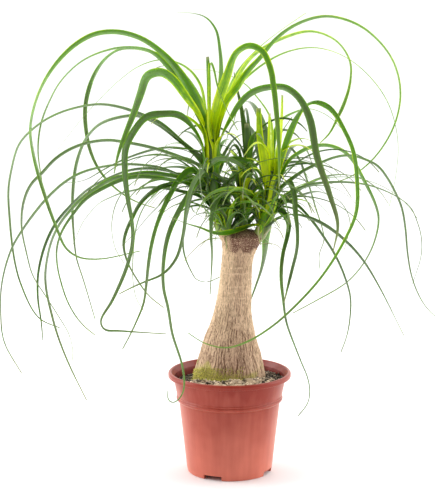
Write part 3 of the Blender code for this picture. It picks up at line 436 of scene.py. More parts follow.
# Leaves cut off square, as the photograph shows them
TALL_CUT_LEAVES = {"cut_spear": (8, 0, 60, 0.36, "209,140 208,100 208,80 207,56")}
RIGHT_CUT_LEAVES = {
    "cut_left": (9, 2, 60, 0.18, "269,190 264,160 260,135 259,108"),
    "cut_middle": (7, -2, 50, 0, "271,190 270,150 270,113"),
    "cut_right": (6, 5, 50, 0.14, "273,190 278,150 281,120 282,95"),
}
BACK_CUT_LEAVES = {"cut_grey": (8, 2, 60, 0.5, "249,170 248,140 247,123")}

# Leaves placed by rule round a stem's upper part, from the lowest to the highest: how many, the first
# heading and the step between headings in degrees, lengths, rises, width, tone and shown widths
GOLDEN_ANGLE = 137.5
FAN_ANGLE = 19.0
MIDDLE_RULE = {"count": 9, "heading": 20, "step": GOLDEN_ANGLE, "lengths": (0.115, 0.095),
               "rises": (38, 84), "width": 0.008, "tone": 0.55, "shown": (5, 5, 4.5, 4, 3, 1.5)}
SMALL_RULE = {"count": 6, "heading": 250, "step": GOLDEN_ANGLE, "lengths": (0.07, 0.06),
              "rises": (35, 80), "width": 0.006, "tone": 0.6, "shown": (4, 4, 3.5, 3, 2.5, 1.5)}
BACK_RULE = {"count": 9, "heading": 75, "step": GOLDEN_ANGLE, "lengths": (0.19, 0.12),
             "rises": (45, 84), "width": 0.009, "tone": 0.8, "shown": (5, 5, 4.5, 4, 3, 2)}
TALL_RULE = {"count": 4, "heading": 62, "step": FAN_ANGLE, "lengths": (0.28, 0.26),
             "rises": (48, 62), "width": 0.011, "tone": 0.5, "shown": None}
RIGHT_RULE = {"count": 4, "heading": 48, "step": FAN_ANGLE, "lengths": (0.27, 0.25),
              "rises": (46, 60), "width": 0.010, "tone": 0.55, "shown": None}
TURNS = [0] + [sign * step for step in range(4, 61, 4) for sign in (1, -1)]

# The shoots: the piece that each becomes and its finish's slot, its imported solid's data, how many leaves
# of each random kind it gets, and how much darker those are
SHOOTS = {
    "tall_shoot": {
        "piece": "tall_leaves", "slot": "mature_leaf", "stem": TALL_STEM, "seen": TALL_LEAVES,
        "cut_off": TALL_CUT_LEAVES, "rule": TALL_RULE, "wild": (19, 16, 6, 5), "shade": 0.0},
    "right_shoot": {
        "piece": "right_leaves", "slot": "mature_leaf", "stem": RIGHT_STEM, "seen": RIGHT_LEAVES,
        "cut_off": RIGHT_CUT_LEAVES, "rule": RIGHT_RULE, "wild": (18, 14, 9, 6), "shade": 0.0},
    "middle_shoot": {
        "piece": "middle_leaves", "slot": "young_leaf", "stem": MIDDLE_STEM, "seen": MIDDLE_LEAVES,
        "cut_off": {}, "rule": MIDDLE_RULE, "wild": (8, 4, 3, 2), "shade": 0.0},
    "small_shoot": {
        "piece": "small_leaves", "slot": "mature_leaf", "stem": SMALL_STEM, "seen": SMALL_LEAVES,
        "cut_off": {}, "rule": SMALL_RULE, "wild": (6, 2, 0, 2), "shade": 0.05},
    "back_shoot": {
        "piece": "back_leaves", "slot": "dark_leaf", "stem": BACK_STEM, "seen": BACK_LEAVES,
        "cut_off": BACK_CUT_LEAVES, "rule": BACK_RULE, "wild": (7, 4, 3, 1), "shade": 0.3},
}

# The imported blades: a flat upper face over a keel, along its own course
RING_SPACING = 0.065
RING_BEND = math.radians(19)
FEWEST_RINGS = 6
MOST_RINGS = 24
KEEL_SHARE = 0.2
KEEL_LEAST = 0.0009
THREAD_WIDTH = 0.0014
ROOT_WIDTH = 0.6
FULL_WIDTH_AT = 0.06
CUT_TAPER = 0.35
TIP_LATENESS = 1.9
TIP_POWER = 0.85
ROOT_SINK = 0.010
ROOT_OFFSET = 0.35
ROOT_SHARE = 0.2
ROOT_LIFT = 0.0004
ROOT_LAYERS = 7
ROOT_ABOVE_FOOT = 0.006
ROOT_BELOW_TIP = 0.005
ROOT_TWIST = 0.55
TWIST_END = 0.3
SWING_END = 0.92
DROOP = 62.0
ARCH_STEPS = 12
ARCH_POWER = 1.35
COURSE_SAMPLES = 300
SHIFT_STEP = 0.006
SHIFT_REACH = 12
MATCH_DISTANCE = 0.00005
KNOT_POWER = 0.75
SHORTENINGS = (1.0, 0.75)
LIFTS = (0, 8, -8)

# The fine leaves: their line's points, their rings, the samples across a blade, the same samples over
# its upper face and back under its lower one, which face each is on, and how a base hugs its stem
LINE_SAMPLES = 1500
LINE_STEP = 0.001
LINE_SOFTNESS = 4
FRAME_SOFTNESS = 10
FINE_SPACING = 0.007
FINE_BEND = math.radians(5)
FINE_FEWEST_RINGS = 16
FINE_MOST_RINGS = 110
ACROSS = np.array((-1.0, -0.72, -0.38, 0.0, 0.38, 0.72, 1.0))
LOOP = np.concatenate((ACROSS, ACROSS[-2:0:-1]))
FACE = np.array((0, 1, 1, 1, 1, 1, 0, -1, -1, -1, -1, -1))
SHEATH_START = 0.014
SHEATH_ABOVE_FOOT = 0.001
SHEATH_RISE = 0.004
SHEATH_HALF_ANGLE = 1.35
SHEATH_WIDTH_SHARE = 0.72
LAYER_SLOPE = 0.045
LAYER_STEP = 0.00018
LAYER_SINK = 0.0004
LAYER_COUNT = 6
ATTACH_SPREAD = math.radians(38)
ATTACH_TWIST = 0.35
BASE_BREADTH = 0.5
WAVER = math.radians(9)
WAVER_RATES = (18, 30)
WAVER_STARTS = (0, 6)
VEIN_LENGTH = 0.1
LEAF_SEED = 1000
WILD_SEED = 400
WILD_HEADING = 20
WILD_SWAY = 0.20
WILD_TWIST = 50

# How far from its root each change on a leaf begins and ends: its base is broad, it shows its own
# width, it turns from its seat to its set, it lets the stem go, and its sheath flares to a blade
BROAD_BASE = (0.03, 0.20)
NEAR_PART = (0.07, 0.15)
TURNING = (0.010, 0.130)
LETTING_GO = (0.012, 0.052)
FLARING = (0.010, 0.075)

# A blade keeps its thickness down to a half width, then thins, as its margins do
THIN_BELOW = 0.003
LEAST_THICKNESS = 0.45
MARGIN_THINNING = 0.45

# Tones along a leaf: its base is painted paler as a glow of light shining through it, more and further if it
# is fresh, it drifts in slow waves, and darkens in its far part if it is mature
FRESH_TONES = (0.30, 0.60)
PAINTED_GLOW = 0.30
FRESH_PAINTED_GLOW = 0.08
PAINTED_GLOW_START = 0.02
PAINTED_GLOW_END = 0.11
FRESH_PAINTED_GLOW_REACH = 0.07
DRIFT = 0.05
DRIFT_WAVES = 14
FAR_DARKENING = 0.22
FAR_PART = (0.30, 0.90)
MATURE_TONES = (0.25, 0.50)

# Where a leaf is dry and how dry: at a cut, in its far part, at its tip, and as straw at the stem's foot
CUT_DRYNESS = 0.8
CUT_EDGE = (0.97, 1.0)
FAR_DRYING = (0.50, 0.95)
FAR_DRYNESS = (0.05, 0.25)
TIP_DRYING = (0.9, 1.0)
TIP_DRYNESS = (0.0, 0.5)
STRAW_DRYNESS = 0.75
STRAW_HEIGHT = (0.006, 0.032)
STRAW_REACH = (0.020, 0.045)

# The stems' skins: rings and faces round, how deep they reach down, and their scars a metre
STEM_RINGS = 60
STEM_STEPS = 28
STEM_SINK = 0.004
STEM_SCARS = 2200


# What every colour setting shares
COLOUR = {"subtype": "COLOR", "min": 0.0, "max": 1.0}


class PotSettings(bpy.types.PropertyGroup):
    plastic: bpy.props.FloatVectorProperty(
        name="Plastic", description="Colour of the moulded plastic",
        default=(0.275, 0.020, 0.007), **COLOUR)
    # The bloom's pale colour, which also paints the floor's light low on the pot
    pale_bloom_and_painted_light: bpy.props.FloatVectorProperty(
        name="Bloom", description="Paler bloom in the plastic", default=(0.80, 0.225, 0.150), **COLOUR)
    steps: bpy.props.IntProperty(
        name="Steps", description="Faces round the pot", default=192, min=48, max=512)
    roughness: bpy.props.FloatProperty(
        name="Roughness", description="How dull the plastic is", default=0.28, min=0.05, max=1.0)


class SoilSettings(bpy.types.PropertyGroup):
    dark: bpy.props.FloatVectorProperty(
        name="Peat", description="Colour of the damp peat", default=(0.018, 0.012, 0.008), **COLOUR)
    pale: bpy.props.FloatVectorProperty(
        name="Dry crumbs", description="Colour of the dry crumbs", default=(0.52, 0.38, 0.25), **COLOUR)
    crumb: bpy.props.FloatProperty(
        name="Crumb height", description="Relief of the crumbs", default=0.0022, unit="LENGTH")
    chips: bpy.props.IntProperty(
        name="Chips", description="How many bark chips lie on the soil", default=1000, min=0)
    chip_size: bpy.props.FloatProperty(
        name="Chip size", description="Length of a large chip", default=0.0052, unit="LENGTH")
    chip_colour: bpy.props.FloatVectorProperty(
        name="Chips' colour", description="Colour of the pale chips", default=(0.70, 0.56, 0.40), **COLOUR)


class TrunkSettings(bpy.types.PropertyGroup):
    fissure: bpy.props.FloatProperty(
        name="Fissure depth", description="Depth of the bark's cracks", default=0.0010, unit="LENGTH")
    ridge: bpy.props.FloatVectorProperty(
        name="Ridges", description="Colour of the bark's raised parts",
        default=(0.82, 0.59, 0.37), **COLOUR)
    crack: bpy.props.FloatVectorProperty(
        name="Cracks", description="Colour in the bark's cracks", default=(0.135, 0.062, 0.030), **COLOUR)
    low: bpy.props.FloatVectorProperty(
        name="Low bark", description="Pinkish tint of the bark low down",
        default=(0.50, 0.305, 0.205), **COLOUR)
    callus: bpy.props.FloatVectorProperty(
        name="Callus", description="Colour of the callus on the cut top",
        default=(0.15, 0.062, 0.040), **COLOUR)
    moss: bpy.props.FloatVectorProperty(
        name="Moss", description="Colour of the moss at the base", default=(0.66, 0.62, 0.13), **COLOUR)
    tufts: bpy.props.IntProperty(
        name="Moss tufts", description="How many tufts of moss grow at the base", default=1500, min=0)


class LeafSettings(bpy.types.PropertyGroup):
    # The heart is the pale leaf bases' colour, made bright as a painted glow of light shining through them
    heart_and_painted_glow: bpy.props.FloatVectorProperty(
        name="Heart", description="Colour of the leaf bases in a shoot's heart",
        default=(0.74, 0.90, 0.006), **COLOUR)
    young: bpy.props.FloatVectorProperty(
        name="Young leaf", description="Colour of a young blade", default=(0.108, 0.305, 0.001), **COLOUR)
    mature: bpy.props.FloatVectorProperty(
        name="Mature leaf", description="Colour of a full-grown blade",
        default=(0.088, 0.160, 0.032), **COLOUR)
    dark: bpy.props.FloatVectorProperty(
        name="Dark leaf", description="Colour of an old or shaded blade",
        default=(0.030, 0.078, 0.013), **COLOUR)
    dry: bpy.props.FloatVectorProperty(
        name="Dry tip", description="Colour of dried tips and sheaths",
        default=(0.40, 0.36, 0.20), **COLOUR)
    thickness: bpy.props.FloatProperty(
        name="Thickness", description="Thickness in the middle of a blade", default=0.00055, unit="LENGTH")
    channel: bpy.props.FloatProperty(
        name="Channel", description="Half the angle that a blade is rolled through", subtype="ANGLE",
        default=math.radians(42))
    roughness: bpy.props.FloatProperty(
        name="Roughness", description="How dull the leaves are", default=0.28, min=0.05, max=1.0)


class StageSettings(bpy.types.PropertyGroup):
    floor_radius: bpy.props.FloatProperty(
        name="Floor radius", description="How far the floor reaches", default=40.0, unit="LENGTH")
    key: bpy.props.FloatProperty(
        name="Left light", description="Power of the soft light at the left", default=25.0, unit="POWER")
    fill: bpy.props.FloatProperty(
        name="Right light", description="Power of the soft light at the right", default=15.0, unit="POWER")
    top: bpy.props.FloatProperty(
        name="Top light", description="Power of the soft light above", default=14.0, unit="POWER")
    sky: bpy.props.FloatProperty(
        name="Surround", description="Strength of the white surround", default=1.5, min=0.0)
    front: bpy.props.FloatProperty(
        name="Front", description="Strength of the surround on the photographed side", default=0.30, min=0.0)


# Numbers and noise


# What mixes a cell's three numbers and a seed: primes, shifts with their primes, and the bits kept
CELL_PRIMES = np.array((73856093, 19349663, 83492791))
SEED_PRIME = 2654435761
MIXING = ((13, 1274126177), (16, 668265263))
LAST_SHIFT = 15
LOW_BITS = 0xFFFFFF


def smooth_step(value, low, high):
    """0 up to low, 1 from high, and a cubic ease between them."""
    share = np.clip((value - low) / (high - low), 0.0, 1.0)
    return share * share * (3.0 - 2.0 * share)


def unit(vectors):
    """Each vector divided by its own length."""
    return vectors / np.maximum(np.linalg.norm(vectors, axis=-1, keepdims=True), 1e-12)


def cell_values(cells, seed):
    """A repeatable value from 0 to 1 for each whole-numbered cell, by mixing its three numbers' bits."""
    x, y, z = np.moveaxis(cells.astype(np.int64) * CELL_PRIMES, -1, 0)
    mixed = x ^ y ^ z ^ (seed * SEED_PRIME)
    for shift, prime in MIXING:
        mixed = (mixed ^ (mixed >> shift)) * prime
    return ((mixed ^ (mixed >> LAST_SHIFT)) & LOW_BITS) / float(LOW_BITS)


def noise(points, size, seed):
    """Value noise: the values at the eight corners of a point's cell, blended by smooth steps."""
    scaled = points / size
    cells = np.floor(scaled)
    share = scaled - cells
    share = share * share * (3.0 - 2.0 * share)
    total = np.zeros(points.shape[:-1])
    for corner in np.ndindex(2, 2, 2):
        weight = np.prod(np.where(np.array(corner) == 1, share, 1.0 - share), axis=-1)
        total += weight * cell_values(cells + np.array(corner), seed)
    return total


def fractal(points, size, layers, seed):
    """Noise from -1 to 1: layers of value noise, each half the size and half the height of the last."""
    total = np.zeros(points.shape[:-1])
    reach = 0.0
    for layer in range(layers):
        height = 0.5 ** layer
        total += height * (2.0 * noise(points, size * height, seed + 17 * layer) - 1.0)
        reach += height
    return total / reach


def softened(rows, reach):
    """Rows averaged with their neighbours under a bell curve; odd reflection holds the ends."""
    pad = min(3 * reach, len(rows) - 2)
    if pad < 1:
        return rows
    bell = np.exp(-0.5 * (np.arange(-pad, pad + 1) / reach) ** 2)
    bell /= bell.sum()
    before = 2 * rows[0] - rows[pad:0:-1]
    after = 2 * rows[-1] - rows[-2:-pad - 2:-1]
    longer = np.vstack((before, rows, after))
    return np.column_stack([np.convolve(longer[:, k], bell, mode="valid") for k in range(rows.shape[1])])


def hermite(knots, values, at):
    """Cubic through values at uneven knots, with slopes from the neighbouring chords."""
    knots, values = np.asarray(knots, float), np.asarray(values, float)
    gaps = np.diff(knots)[:, None]
    chords = np.diff(values, axis=0) / gaps
    slopes = np.vstack((chords[:1], (chords[:-1] * gaps[1:] + chords[1:] * gaps[:-1])
                        / (gaps[1:] + gaps[:-1]), chords[-1:]))
    spans = np.clip(np.searchsorted(knots, at, side="right") - 1, 0, len(knots) - 2)
    gap = gaps[spans]
    t = ((np.asarray(at, float) - knots[spans])[:, None]) / gap
    start, end = values[spans], values[spans + 1]
    first, last = slopes[spans] * gap, slopes[spans + 1] * gap
    return ((2 * t**3 - 3 * t**2 + 1) * start + (t**3 - 2 * t**2 + t) * first
            + (3 * t**2 - 2 * t**3) * end + (t**3 - t**2) * last)


def fading(value, low, high):
    """1 up to low, 0 from high, and a cubic ease between them."""
    return 1.0 - smooth_step(value, low, high)


def travelled_along(points, power=1.0):
    """The steps' lengths along a line, each to a power, added up to each of its points."""
    return np.concatenate(([0.0], np.cumsum(np.linalg.norm(np.diff(points, axis=0), axis=1) ** power)))


def sampled(at, marks, rows):
    """Rows that stand at marks, read at other places on straight lines between them."""
    return np.column_stack([np.interp(at, marks, column) for column in rows.T])


def smooth_curve(points, count):
    """A cubic curve through points, its knots spaced by the chords' lengths to a power below one."""
    points = np.asarray(points, float)
    knots = travelled_along(points, KNOT_POWER)
    return hermite(knots, points, np.linspace(0.0, knots[-1], count))


# Meshes from arrays


def skin(rings, values=None):
    """A closed skin over rings of points: quads between the rings, and a fan at each end.

    The result is turned so that its volume is positive, which points its faces outwards.
    """
    count, samples = rings.shape[:2]
    index = np.arange(count * samples).reshape(count, samples)
    beside = np.roll(index, -1, axis=1)
    quads = np.stack((index[:-1], beside[:-1], beside[1:], index[1:]), axis=-1).reshape(-1, 4)
    first = np.full(samples, count * samples)
    fans = np.vstack((np.column_stack((beside[0], index[0], first)),
                      np.column_stack((index[-1], beside[-1], first + 1))))
    points = np.vstack((rings.reshape(-1, 3), rings[0].mean(axis=0), rings[-1].mean(axis=0)))
    triangles = np.vstack((quads[:, (0, 1, 2)], quads[:, (0, 2, 3)], fans))
    a, b, c = (points[triangles[:, k]] for k in range(3))
    if np.sum(a * np.cross(b, c)) < 0:
        quads, fans = quads[:, ::-1], fans[:, ::-1]
    attributes = {}
    for name, grid in (values or {}).items():
        grid = np.broadcast_to(grid, (count, samples))
        attributes[name] = np.concatenate((grid.reshape(-1), (grid[0].mean(), grid[-1].mean())))
    return {"points": points, "faces": [quads, fans], "values": attributes, "slot": 0}


def joined(name, shapes, materials, sharp=None):
    """One object at the origin from many shapes, with their attributes, smooth-shaded."""
    offsets = np.concatenate(([0], np.cumsum([len(shape["points"]) for shape in shapes])))
    points = np.vstack([shape["points"] for shape in shapes])
    faces = []
    slots = []
    for shape, offset in zip(shapes, offsets):
        for block in shape["faces"]:
            faces += (block + offset).tolist()
            slots += [shape["slot"]] * len(block)
    mesh = bpy.data.meshes.new(name)
    mesh.from_pydata(points, [], faces)
    mesh.polygons.foreach_set("material_index", slots)
    for key in shapes[0]["values"]:
        layer = mesh.attributes.new(key, "FLOAT", "POINT")
        layer.data.foreach_set("value", np.concatenate([shape["values"][key] for shape in shapes]))
    for material in materials:
        mesh.materials.append(material)
    mesh.update()
    mesh.shade_smooth()
    if sharp is not None:
        mesh.set_sharp_from_angle(angle=math.radians(sharp))
    thing = bpy.data.objects.new(name, mesh)
    bpy.context.scene.collection.objects.link(thing)
    return thing


def about_z(radii, turns, heights):
    """Points at a radius from Z, a turn from +X and a height."""
    return np.stack(np.broadcast_arrays(radii * np.cos(turns), radii * np.sin(turns), heights), axis=-1)


def around(radii, turns, heights=0.0):
    """Points at a radius from Z, a turn from the front towards +X and a height."""
    return np.stack(np.broadcast_arrays(radii * np.sin(turns), -radii * np.cos(turns), heights), axis=-1)


def turned(profile, steps):
    """Rings of a profile of (radius, height) rows carried round Z."""
    return about_z(profile[:, :1], np.linspace(0.0, math.tau, steps, endpoint=False), profile[:, 1:])


def arc(centre, radius, start, end, steps):
    """Points along a circular arc in the profile's plane, angles in degrees from +X."""
    angles = np.radians(np.linspace(start, end, steps + 1))
    return np.column_stack((centre[0] + radius * np.cos(angles), centre[1] + radius * np.sin(angles)))


def straight(start, end, steps):
    """Evenly spaced points from one place of the profile to just before another."""
    shares = np.linspace(0.0, 1.0, steps, endpoint=False)[:, None]
    return np.array(start) * (1.0 - shares) + np.array(end) * shares


# Finishes


def tinted(colour, share, lift=0.0):
    """A colour times a share, plus a lift, held at white."""
    return tuple(min(1.0, share * part + lift) for part in colour)


class Nodes:
    """A node tree, with short ways to add nodes to it."""

    def __init__(self, tree):
        self.tree = tree

    def feed(self, socket, value):
        if isinstance(value, bpy.types.NodeSocket):
            self.tree.links.new(value, socket)
        elif socket.type == "RGBA":
            socket.default_value = (*value, 1.0)
        else:
            socket.default_value = value

    def node(self, kind, output, inputs=None, **settings):
        """A new node with its settings made and its inputs fed; gives one of its outputs."""
        node = self.tree.nodes.new("ShaderNode" + kind)
        for key, value in settings.items():
            setattr(node, key, value)
        for key, value in (inputs or {}).items():
            self.feed(node.inputs[key], value)
        return node.outputs[output]

    def ranged(self, value, low, high, out_low=0.0, out_high=1.0, **settings):
        inputs = {"Value": value, "From Min": low, "From Max": high, "To Min": out_low, "To Max": out_high}
        return self.node("MapRange", "Result", inputs, **settings)


class Finish(Nodes):
    """A Principled material, with short ways to add the nodes that feed it."""

    def __init__(self, name, **constants):
        self.material = bpy.data.materials.new(name)
        self.material.use_nodes = True
        super().__init__(self.material.node_tree)
        self.shader = self.tree.nodes["Principled BSDF"]
        for key, value in constants.items():
            self.feed(self.shader.inputs[key.replace("_", " ")], value)

    def place(self):
        return self.node("TexCoord", "Object")

    def attribute(self, name):
        return self.node("Attribute", "Fac", attribute_name=name)

    def add(self, first, second, clamp=False):
        return self.node("Math", "Value", {0: first, 1: second}, operation="ADD", use_clamp=clamp)

    def times(self, first, second):
        return self.node("Math", "Value", {0: first, 1: second}, operation="MULTIPLY")

    def grain(self, place, scale, detail=3.0, roughness=0.55):
        """Noise of a scale that is one number, or three along X, Y and Z."""
        if isinstance(scale, tuple):
            place, scale = self.node("Mapping", "Vector", {"Vector": place, "Scale": scale}), 1.0
        return self.node("TexNoise", "Fac", {"Vector": place, "Scale": scale, "Detail": detail,
                                             "Roughness": roughness})

    def ramp(self, value, *stops):
        node = self.tree.nodes.new("ShaderNodeValToRGB")
        self.feed(node.inputs["Fac"], value)
        elements = node.color_ramp.elements
        while len(elements) < len(stops):
            elements.new(0.5)
        for element, (position, colour) in zip(elements, stops):
            element.position = position
            element.color = (*colour, 1.0)
        return node.outputs["Color"]

    def blend(self, share, first, second):
        node = self.tree.nodes.new("ShaderNodeMix")
        node.data_type = "RGBA"
        self.feed(node.inputs["Factor"], share)
        colours = (socket for socket in node.inputs if socket.type == "RGBA")
        for socket, value in zip(colours, (first, second)):
            self.feed(socket, value)
        return next(socket for socket in node.outputs if socket.type == "RGBA")

    def bump(self, height, distance, strength):
        inputs = {"Height": height, "Distance": distance, "Strength": strength}
        self.feed(self.shader.inputs["Normal"], self.node("Bump", "Normal", inputs))

    def colour(self, value):
        self.feed(self.shader.inputs["Base Color"], value)

    def roughness(self, value):
        self.feed(self.shader.inputs["Roughness"], value)


def plastic_finish(settings):
    """Moulded plastic: cloudy bloom, draw lines, orange peel; painted floor light low down, painted shade up
    high.
    """
    finish = Finish("terracotta plastic", Specular_IOR_Level=0.34, Sheen_Weight=0.5, Sheen_Roughness=0.42,
                    Sheen_Tint=(1.0, 0.44, 0.28))
    place = finish.place()
    height = finish.node("SeparateXYZ", "Z", {"Vector": place})
    clouds = finish.ranged(finish.grain(place, CLOUD_GRAIN), 0.35, 0.7, 0.0, 0.22)
    draw_lines = finish.ranged(finish.grain(place, DRAW_GRAIN, 2.0), 0.4, 0.75, 0.0, 0.14)
    # Painted light by height: paler low down as painted light from the floor, darker from the lip up as
    # painted shade
    painted_light_by_height = finish.ranged(height, LIP_BOTTOM, 0.0, -0.16, 0.60)
    bloom_and_painted_light = finish.add(finish.add(clouds, draw_lines), painted_light_by_height, clamp=True)
    finish.colour(finish.blend(bloom_and_painted_light, settings.plastic, settings.pale_bloom_and_painted_light))
    scuffs = finish.grain(place, SCUFF_GRAIN, 4.0)
    finish.roughness(finish.ranged(scuffs, 0.35, 0.75, settings.roughness, settings.roughness + 0.07))
    finish.bump(finish.grain(place, PEEL_GRAIN, 2.0), PEEL_RELIEF, 0.4)
    return finish.material


def filmed_and_shaded_finish(settings):
    """The pot's inside: the plastic dulled by a cloudy film of peat, its darkening also painted shade."""
    finish = Finish("soiled plastic", Specular_IOR_Level=0.35)
    film = finish.grain(finish.place(), FILM_GRAIN, 5.0, 0.6)
    # Where the film lies thick the plastic is darker: peat film, and painted shade inside the pot
    thick = finish.ranged(film, 0.35, 0.68, 0.0, 0.8)
    finish.colour(finish.blend(thick, settings.plastic, tinted(settings.plastic, 0.30, 0.008)))
    finish.roughness(finish.ranged(film, 0.35, 0.68, 0.42, 0.75))
    finish.bump(film, FILM_RELIEF, 0.5)
    return finish.material


def soil_finish(settings):
    """Peat and crumbs: dark in the hollows, partly painted shade, dry and pale on top, with a rough fine
    grain.
    """
    finish = Finish("potting soil", Roughness=0.95)
    place = finish.place()
    fine = finish.grain(place, SOIL_GRAIN, 4.0, 0.7)
    clumps = finish.grain(place, CLUMP_GRAIN)
    mixed = finish.add(finish.times(finish.attribute("tone"), 0.75),
                       finish.times(finish.times(fine, clumps), 0.75))
    middle = tuple(0.6 * dark + 0.2 * pale for dark, pale in zip(settings.dark, settings.pale))
    finish.colour(finish.ramp(mixed, (0.25, settings.dark), (0.55, middle), (0.86, settings.pale)))
    finish.bump(finish.add(fine, clumps), SOIL_RELIEF, 0.9)
    return finish.material


def chip_finish(settings):
    """Bark chips: each has its own tone, with fibres along it."""
    finish = Finish("bark chips", Roughness=0.85)
    fibres = finish.grain(finish.place(), CHIP_GRAIN)
    tone = finish.add(finish.attribute("tone"), finish.ranged(fibres, 0.3, 0.7, -0.16, 0.16), clamp=True)
    chip = settings.chip_colour
    finish.colour(finish.ramp(tone, (0.0, settings.dark), (0.35, tinted(chip, 0.32)), (0.7, chip),
                              (1.0, tinted(chip, 1.3, 0.05))))
    finish.bump(fibres, CHIP_RELIEF, 0.7)
    return finish.material


def bark_finish(settings):
    """Bark: tan ridges, brown cracks, pinkish low down, callus at the cut top and moss at the soil."""
    finish = Finish("bark", Roughness=0.86)
    place = finish.place()
    fibres = finish.grain(place, FIBRE_GRAIN, 4.0, 0.65)
    patches = finish.grain(place, PATCH_GRAIN)
    specks = finish.grain(place, SPECK_GRAIN, 2.0)
    bright = tinted(settings.ridge, 1.15, 0.06)
    pinkish = finish.times(finish.attribute("low"), finish.ranged(patches, 0.3, 0.62, 0.6, 1.0))
    raised = finish.blend(pinkish, settings.ridge, settings.low)
    raised = finish.blend(finish.ranged(patches, 0.52, 0.72, 0.0, 0.55), raised, bright)
    raised = finish.blend(finish.attribute("scar"), raised, bright)
    depth = finish.add(finish.attribute("crack"), finish.ranged(fibres, 0.40, 0.60, 0.42, -0.25), clamp=True)
    bark = finish.blend(depth, raised, settings.crack)
    callus = finish.blend(finish.ranged(specks, 0.52, 0.70), settings.callus, settings.ridge)
    bark = finish.blend(finish.attribute("callus"), bark, callus)
    green = finish.blend(finish.ranged(specks, 0.35, 0.65), tinted(settings.moss, 0.45), settings.moss)
    moss = finish.times(finish.attribute("moss"), finish.ranged(fibres, 0.35, 0.6, 0.25, 0.95))
    finish.colour(finish.blend(moss, bark, green))
    finish.bump(finish.add(fibres, finish.times(specks, 0.4)), BARK_RELIEF, 0.8)
    return finish.material


def moss_finish(settings):
    """Moss: yellow-green tips over darker feet."""
    finish = Finish("moss", Roughness=0.9)
    mottle = finish.ranged(finish.grain(finish.place(), MOSS_GRAIN), 0.3, 0.7, -0.15, 0.2)
    red, green, blue = settings.moss
    tip = (*tinted((red, green), 1.5), 1.6 * blue)
    finish.colour(finish.ramp(finish.add(finish.attribute("tone"), mottle),
                              (0.0, tinted(settings.moss, 0.4)), (0.55, settings.moss), (1.0, tip)))
    return finish.material


def leaf_finish(settings):
    """Leaf: a ramp from the heart's painted glow to dark, long veins, margins painted paler as highlight,
    dry tips.
    """
    finish = Finish("ponytail leaf", Specular_IOR_Level=0.36, Subsurface_Weight=0.25,
                    Subsurface_Radius=(0.6, 1.0, 0.1), Subsurface_Scale=0.0016)
    across = finish.attribute("across")
    strip = finish.node("CombineXYZ", "Vector", {"X": finish.times(across, 7.0),
                                                 "Y": finish.times(finish.attribute("along"), 2.5),
                                                 "Z": finish.times(finish.attribute("seed"), 31.0)})
    veins = finish.grain(strip, 1.0, 3.0, 0.6)
    mottle = finish.ranged(finish.grain(finish.place(), MOTTLE_GRAIN), 0.3, 0.7, -0.05, 0.05)
    # Margins painted paler as a highlight on the rolled edges, and the middle darker as painted shade in the
    # channel
    painted_edge_light_and_channel_shade = finish.ranged(finish.times(across, across), 0.25, 1.0, 0.08, -0.17)
    shade = finish.add(finish.attribute("tone"), finish.ranged(veins, 0.3, 0.7, -0.14, 0.15))
    shade = finish.add(finish.add(shade, mottle), painted_edge_light_and_channel_shade, clamp=True)
    green = finish.ramp(shade, (0.0, settings.heart_and_painted_glow), (0.3, settings.young), (0.62, settings.mature),
                        (1.0, settings.dark))
    finish.colour(finish.blend(finish.attribute("dry"), green, settings.dry))
    finish.roughness(finish.ranged(veins, 0.3, 0.7, settings.roughness - 0.05, settings.roughness + 0.1))
    finish.bump(veins, VEIN_RELIEF, 0.5)
    return finish.material


# Pot


def inner_wall_radius(height):
    """Radius of the pot's inner wall at a height: its outer wall's, less the wall."""
    heights = (FLOOR_TOP, RIDGE_FOOT, RIDGE_TOP, LIP_BOTTOM)
    radii = (FOOT_RADIUS, RIDGE_FOOT_RADIUS, RIDGE_TOP_RADIUS, UPPER_WALL_RADIUS)
    return np.interp(height, heights, radii) - WALL


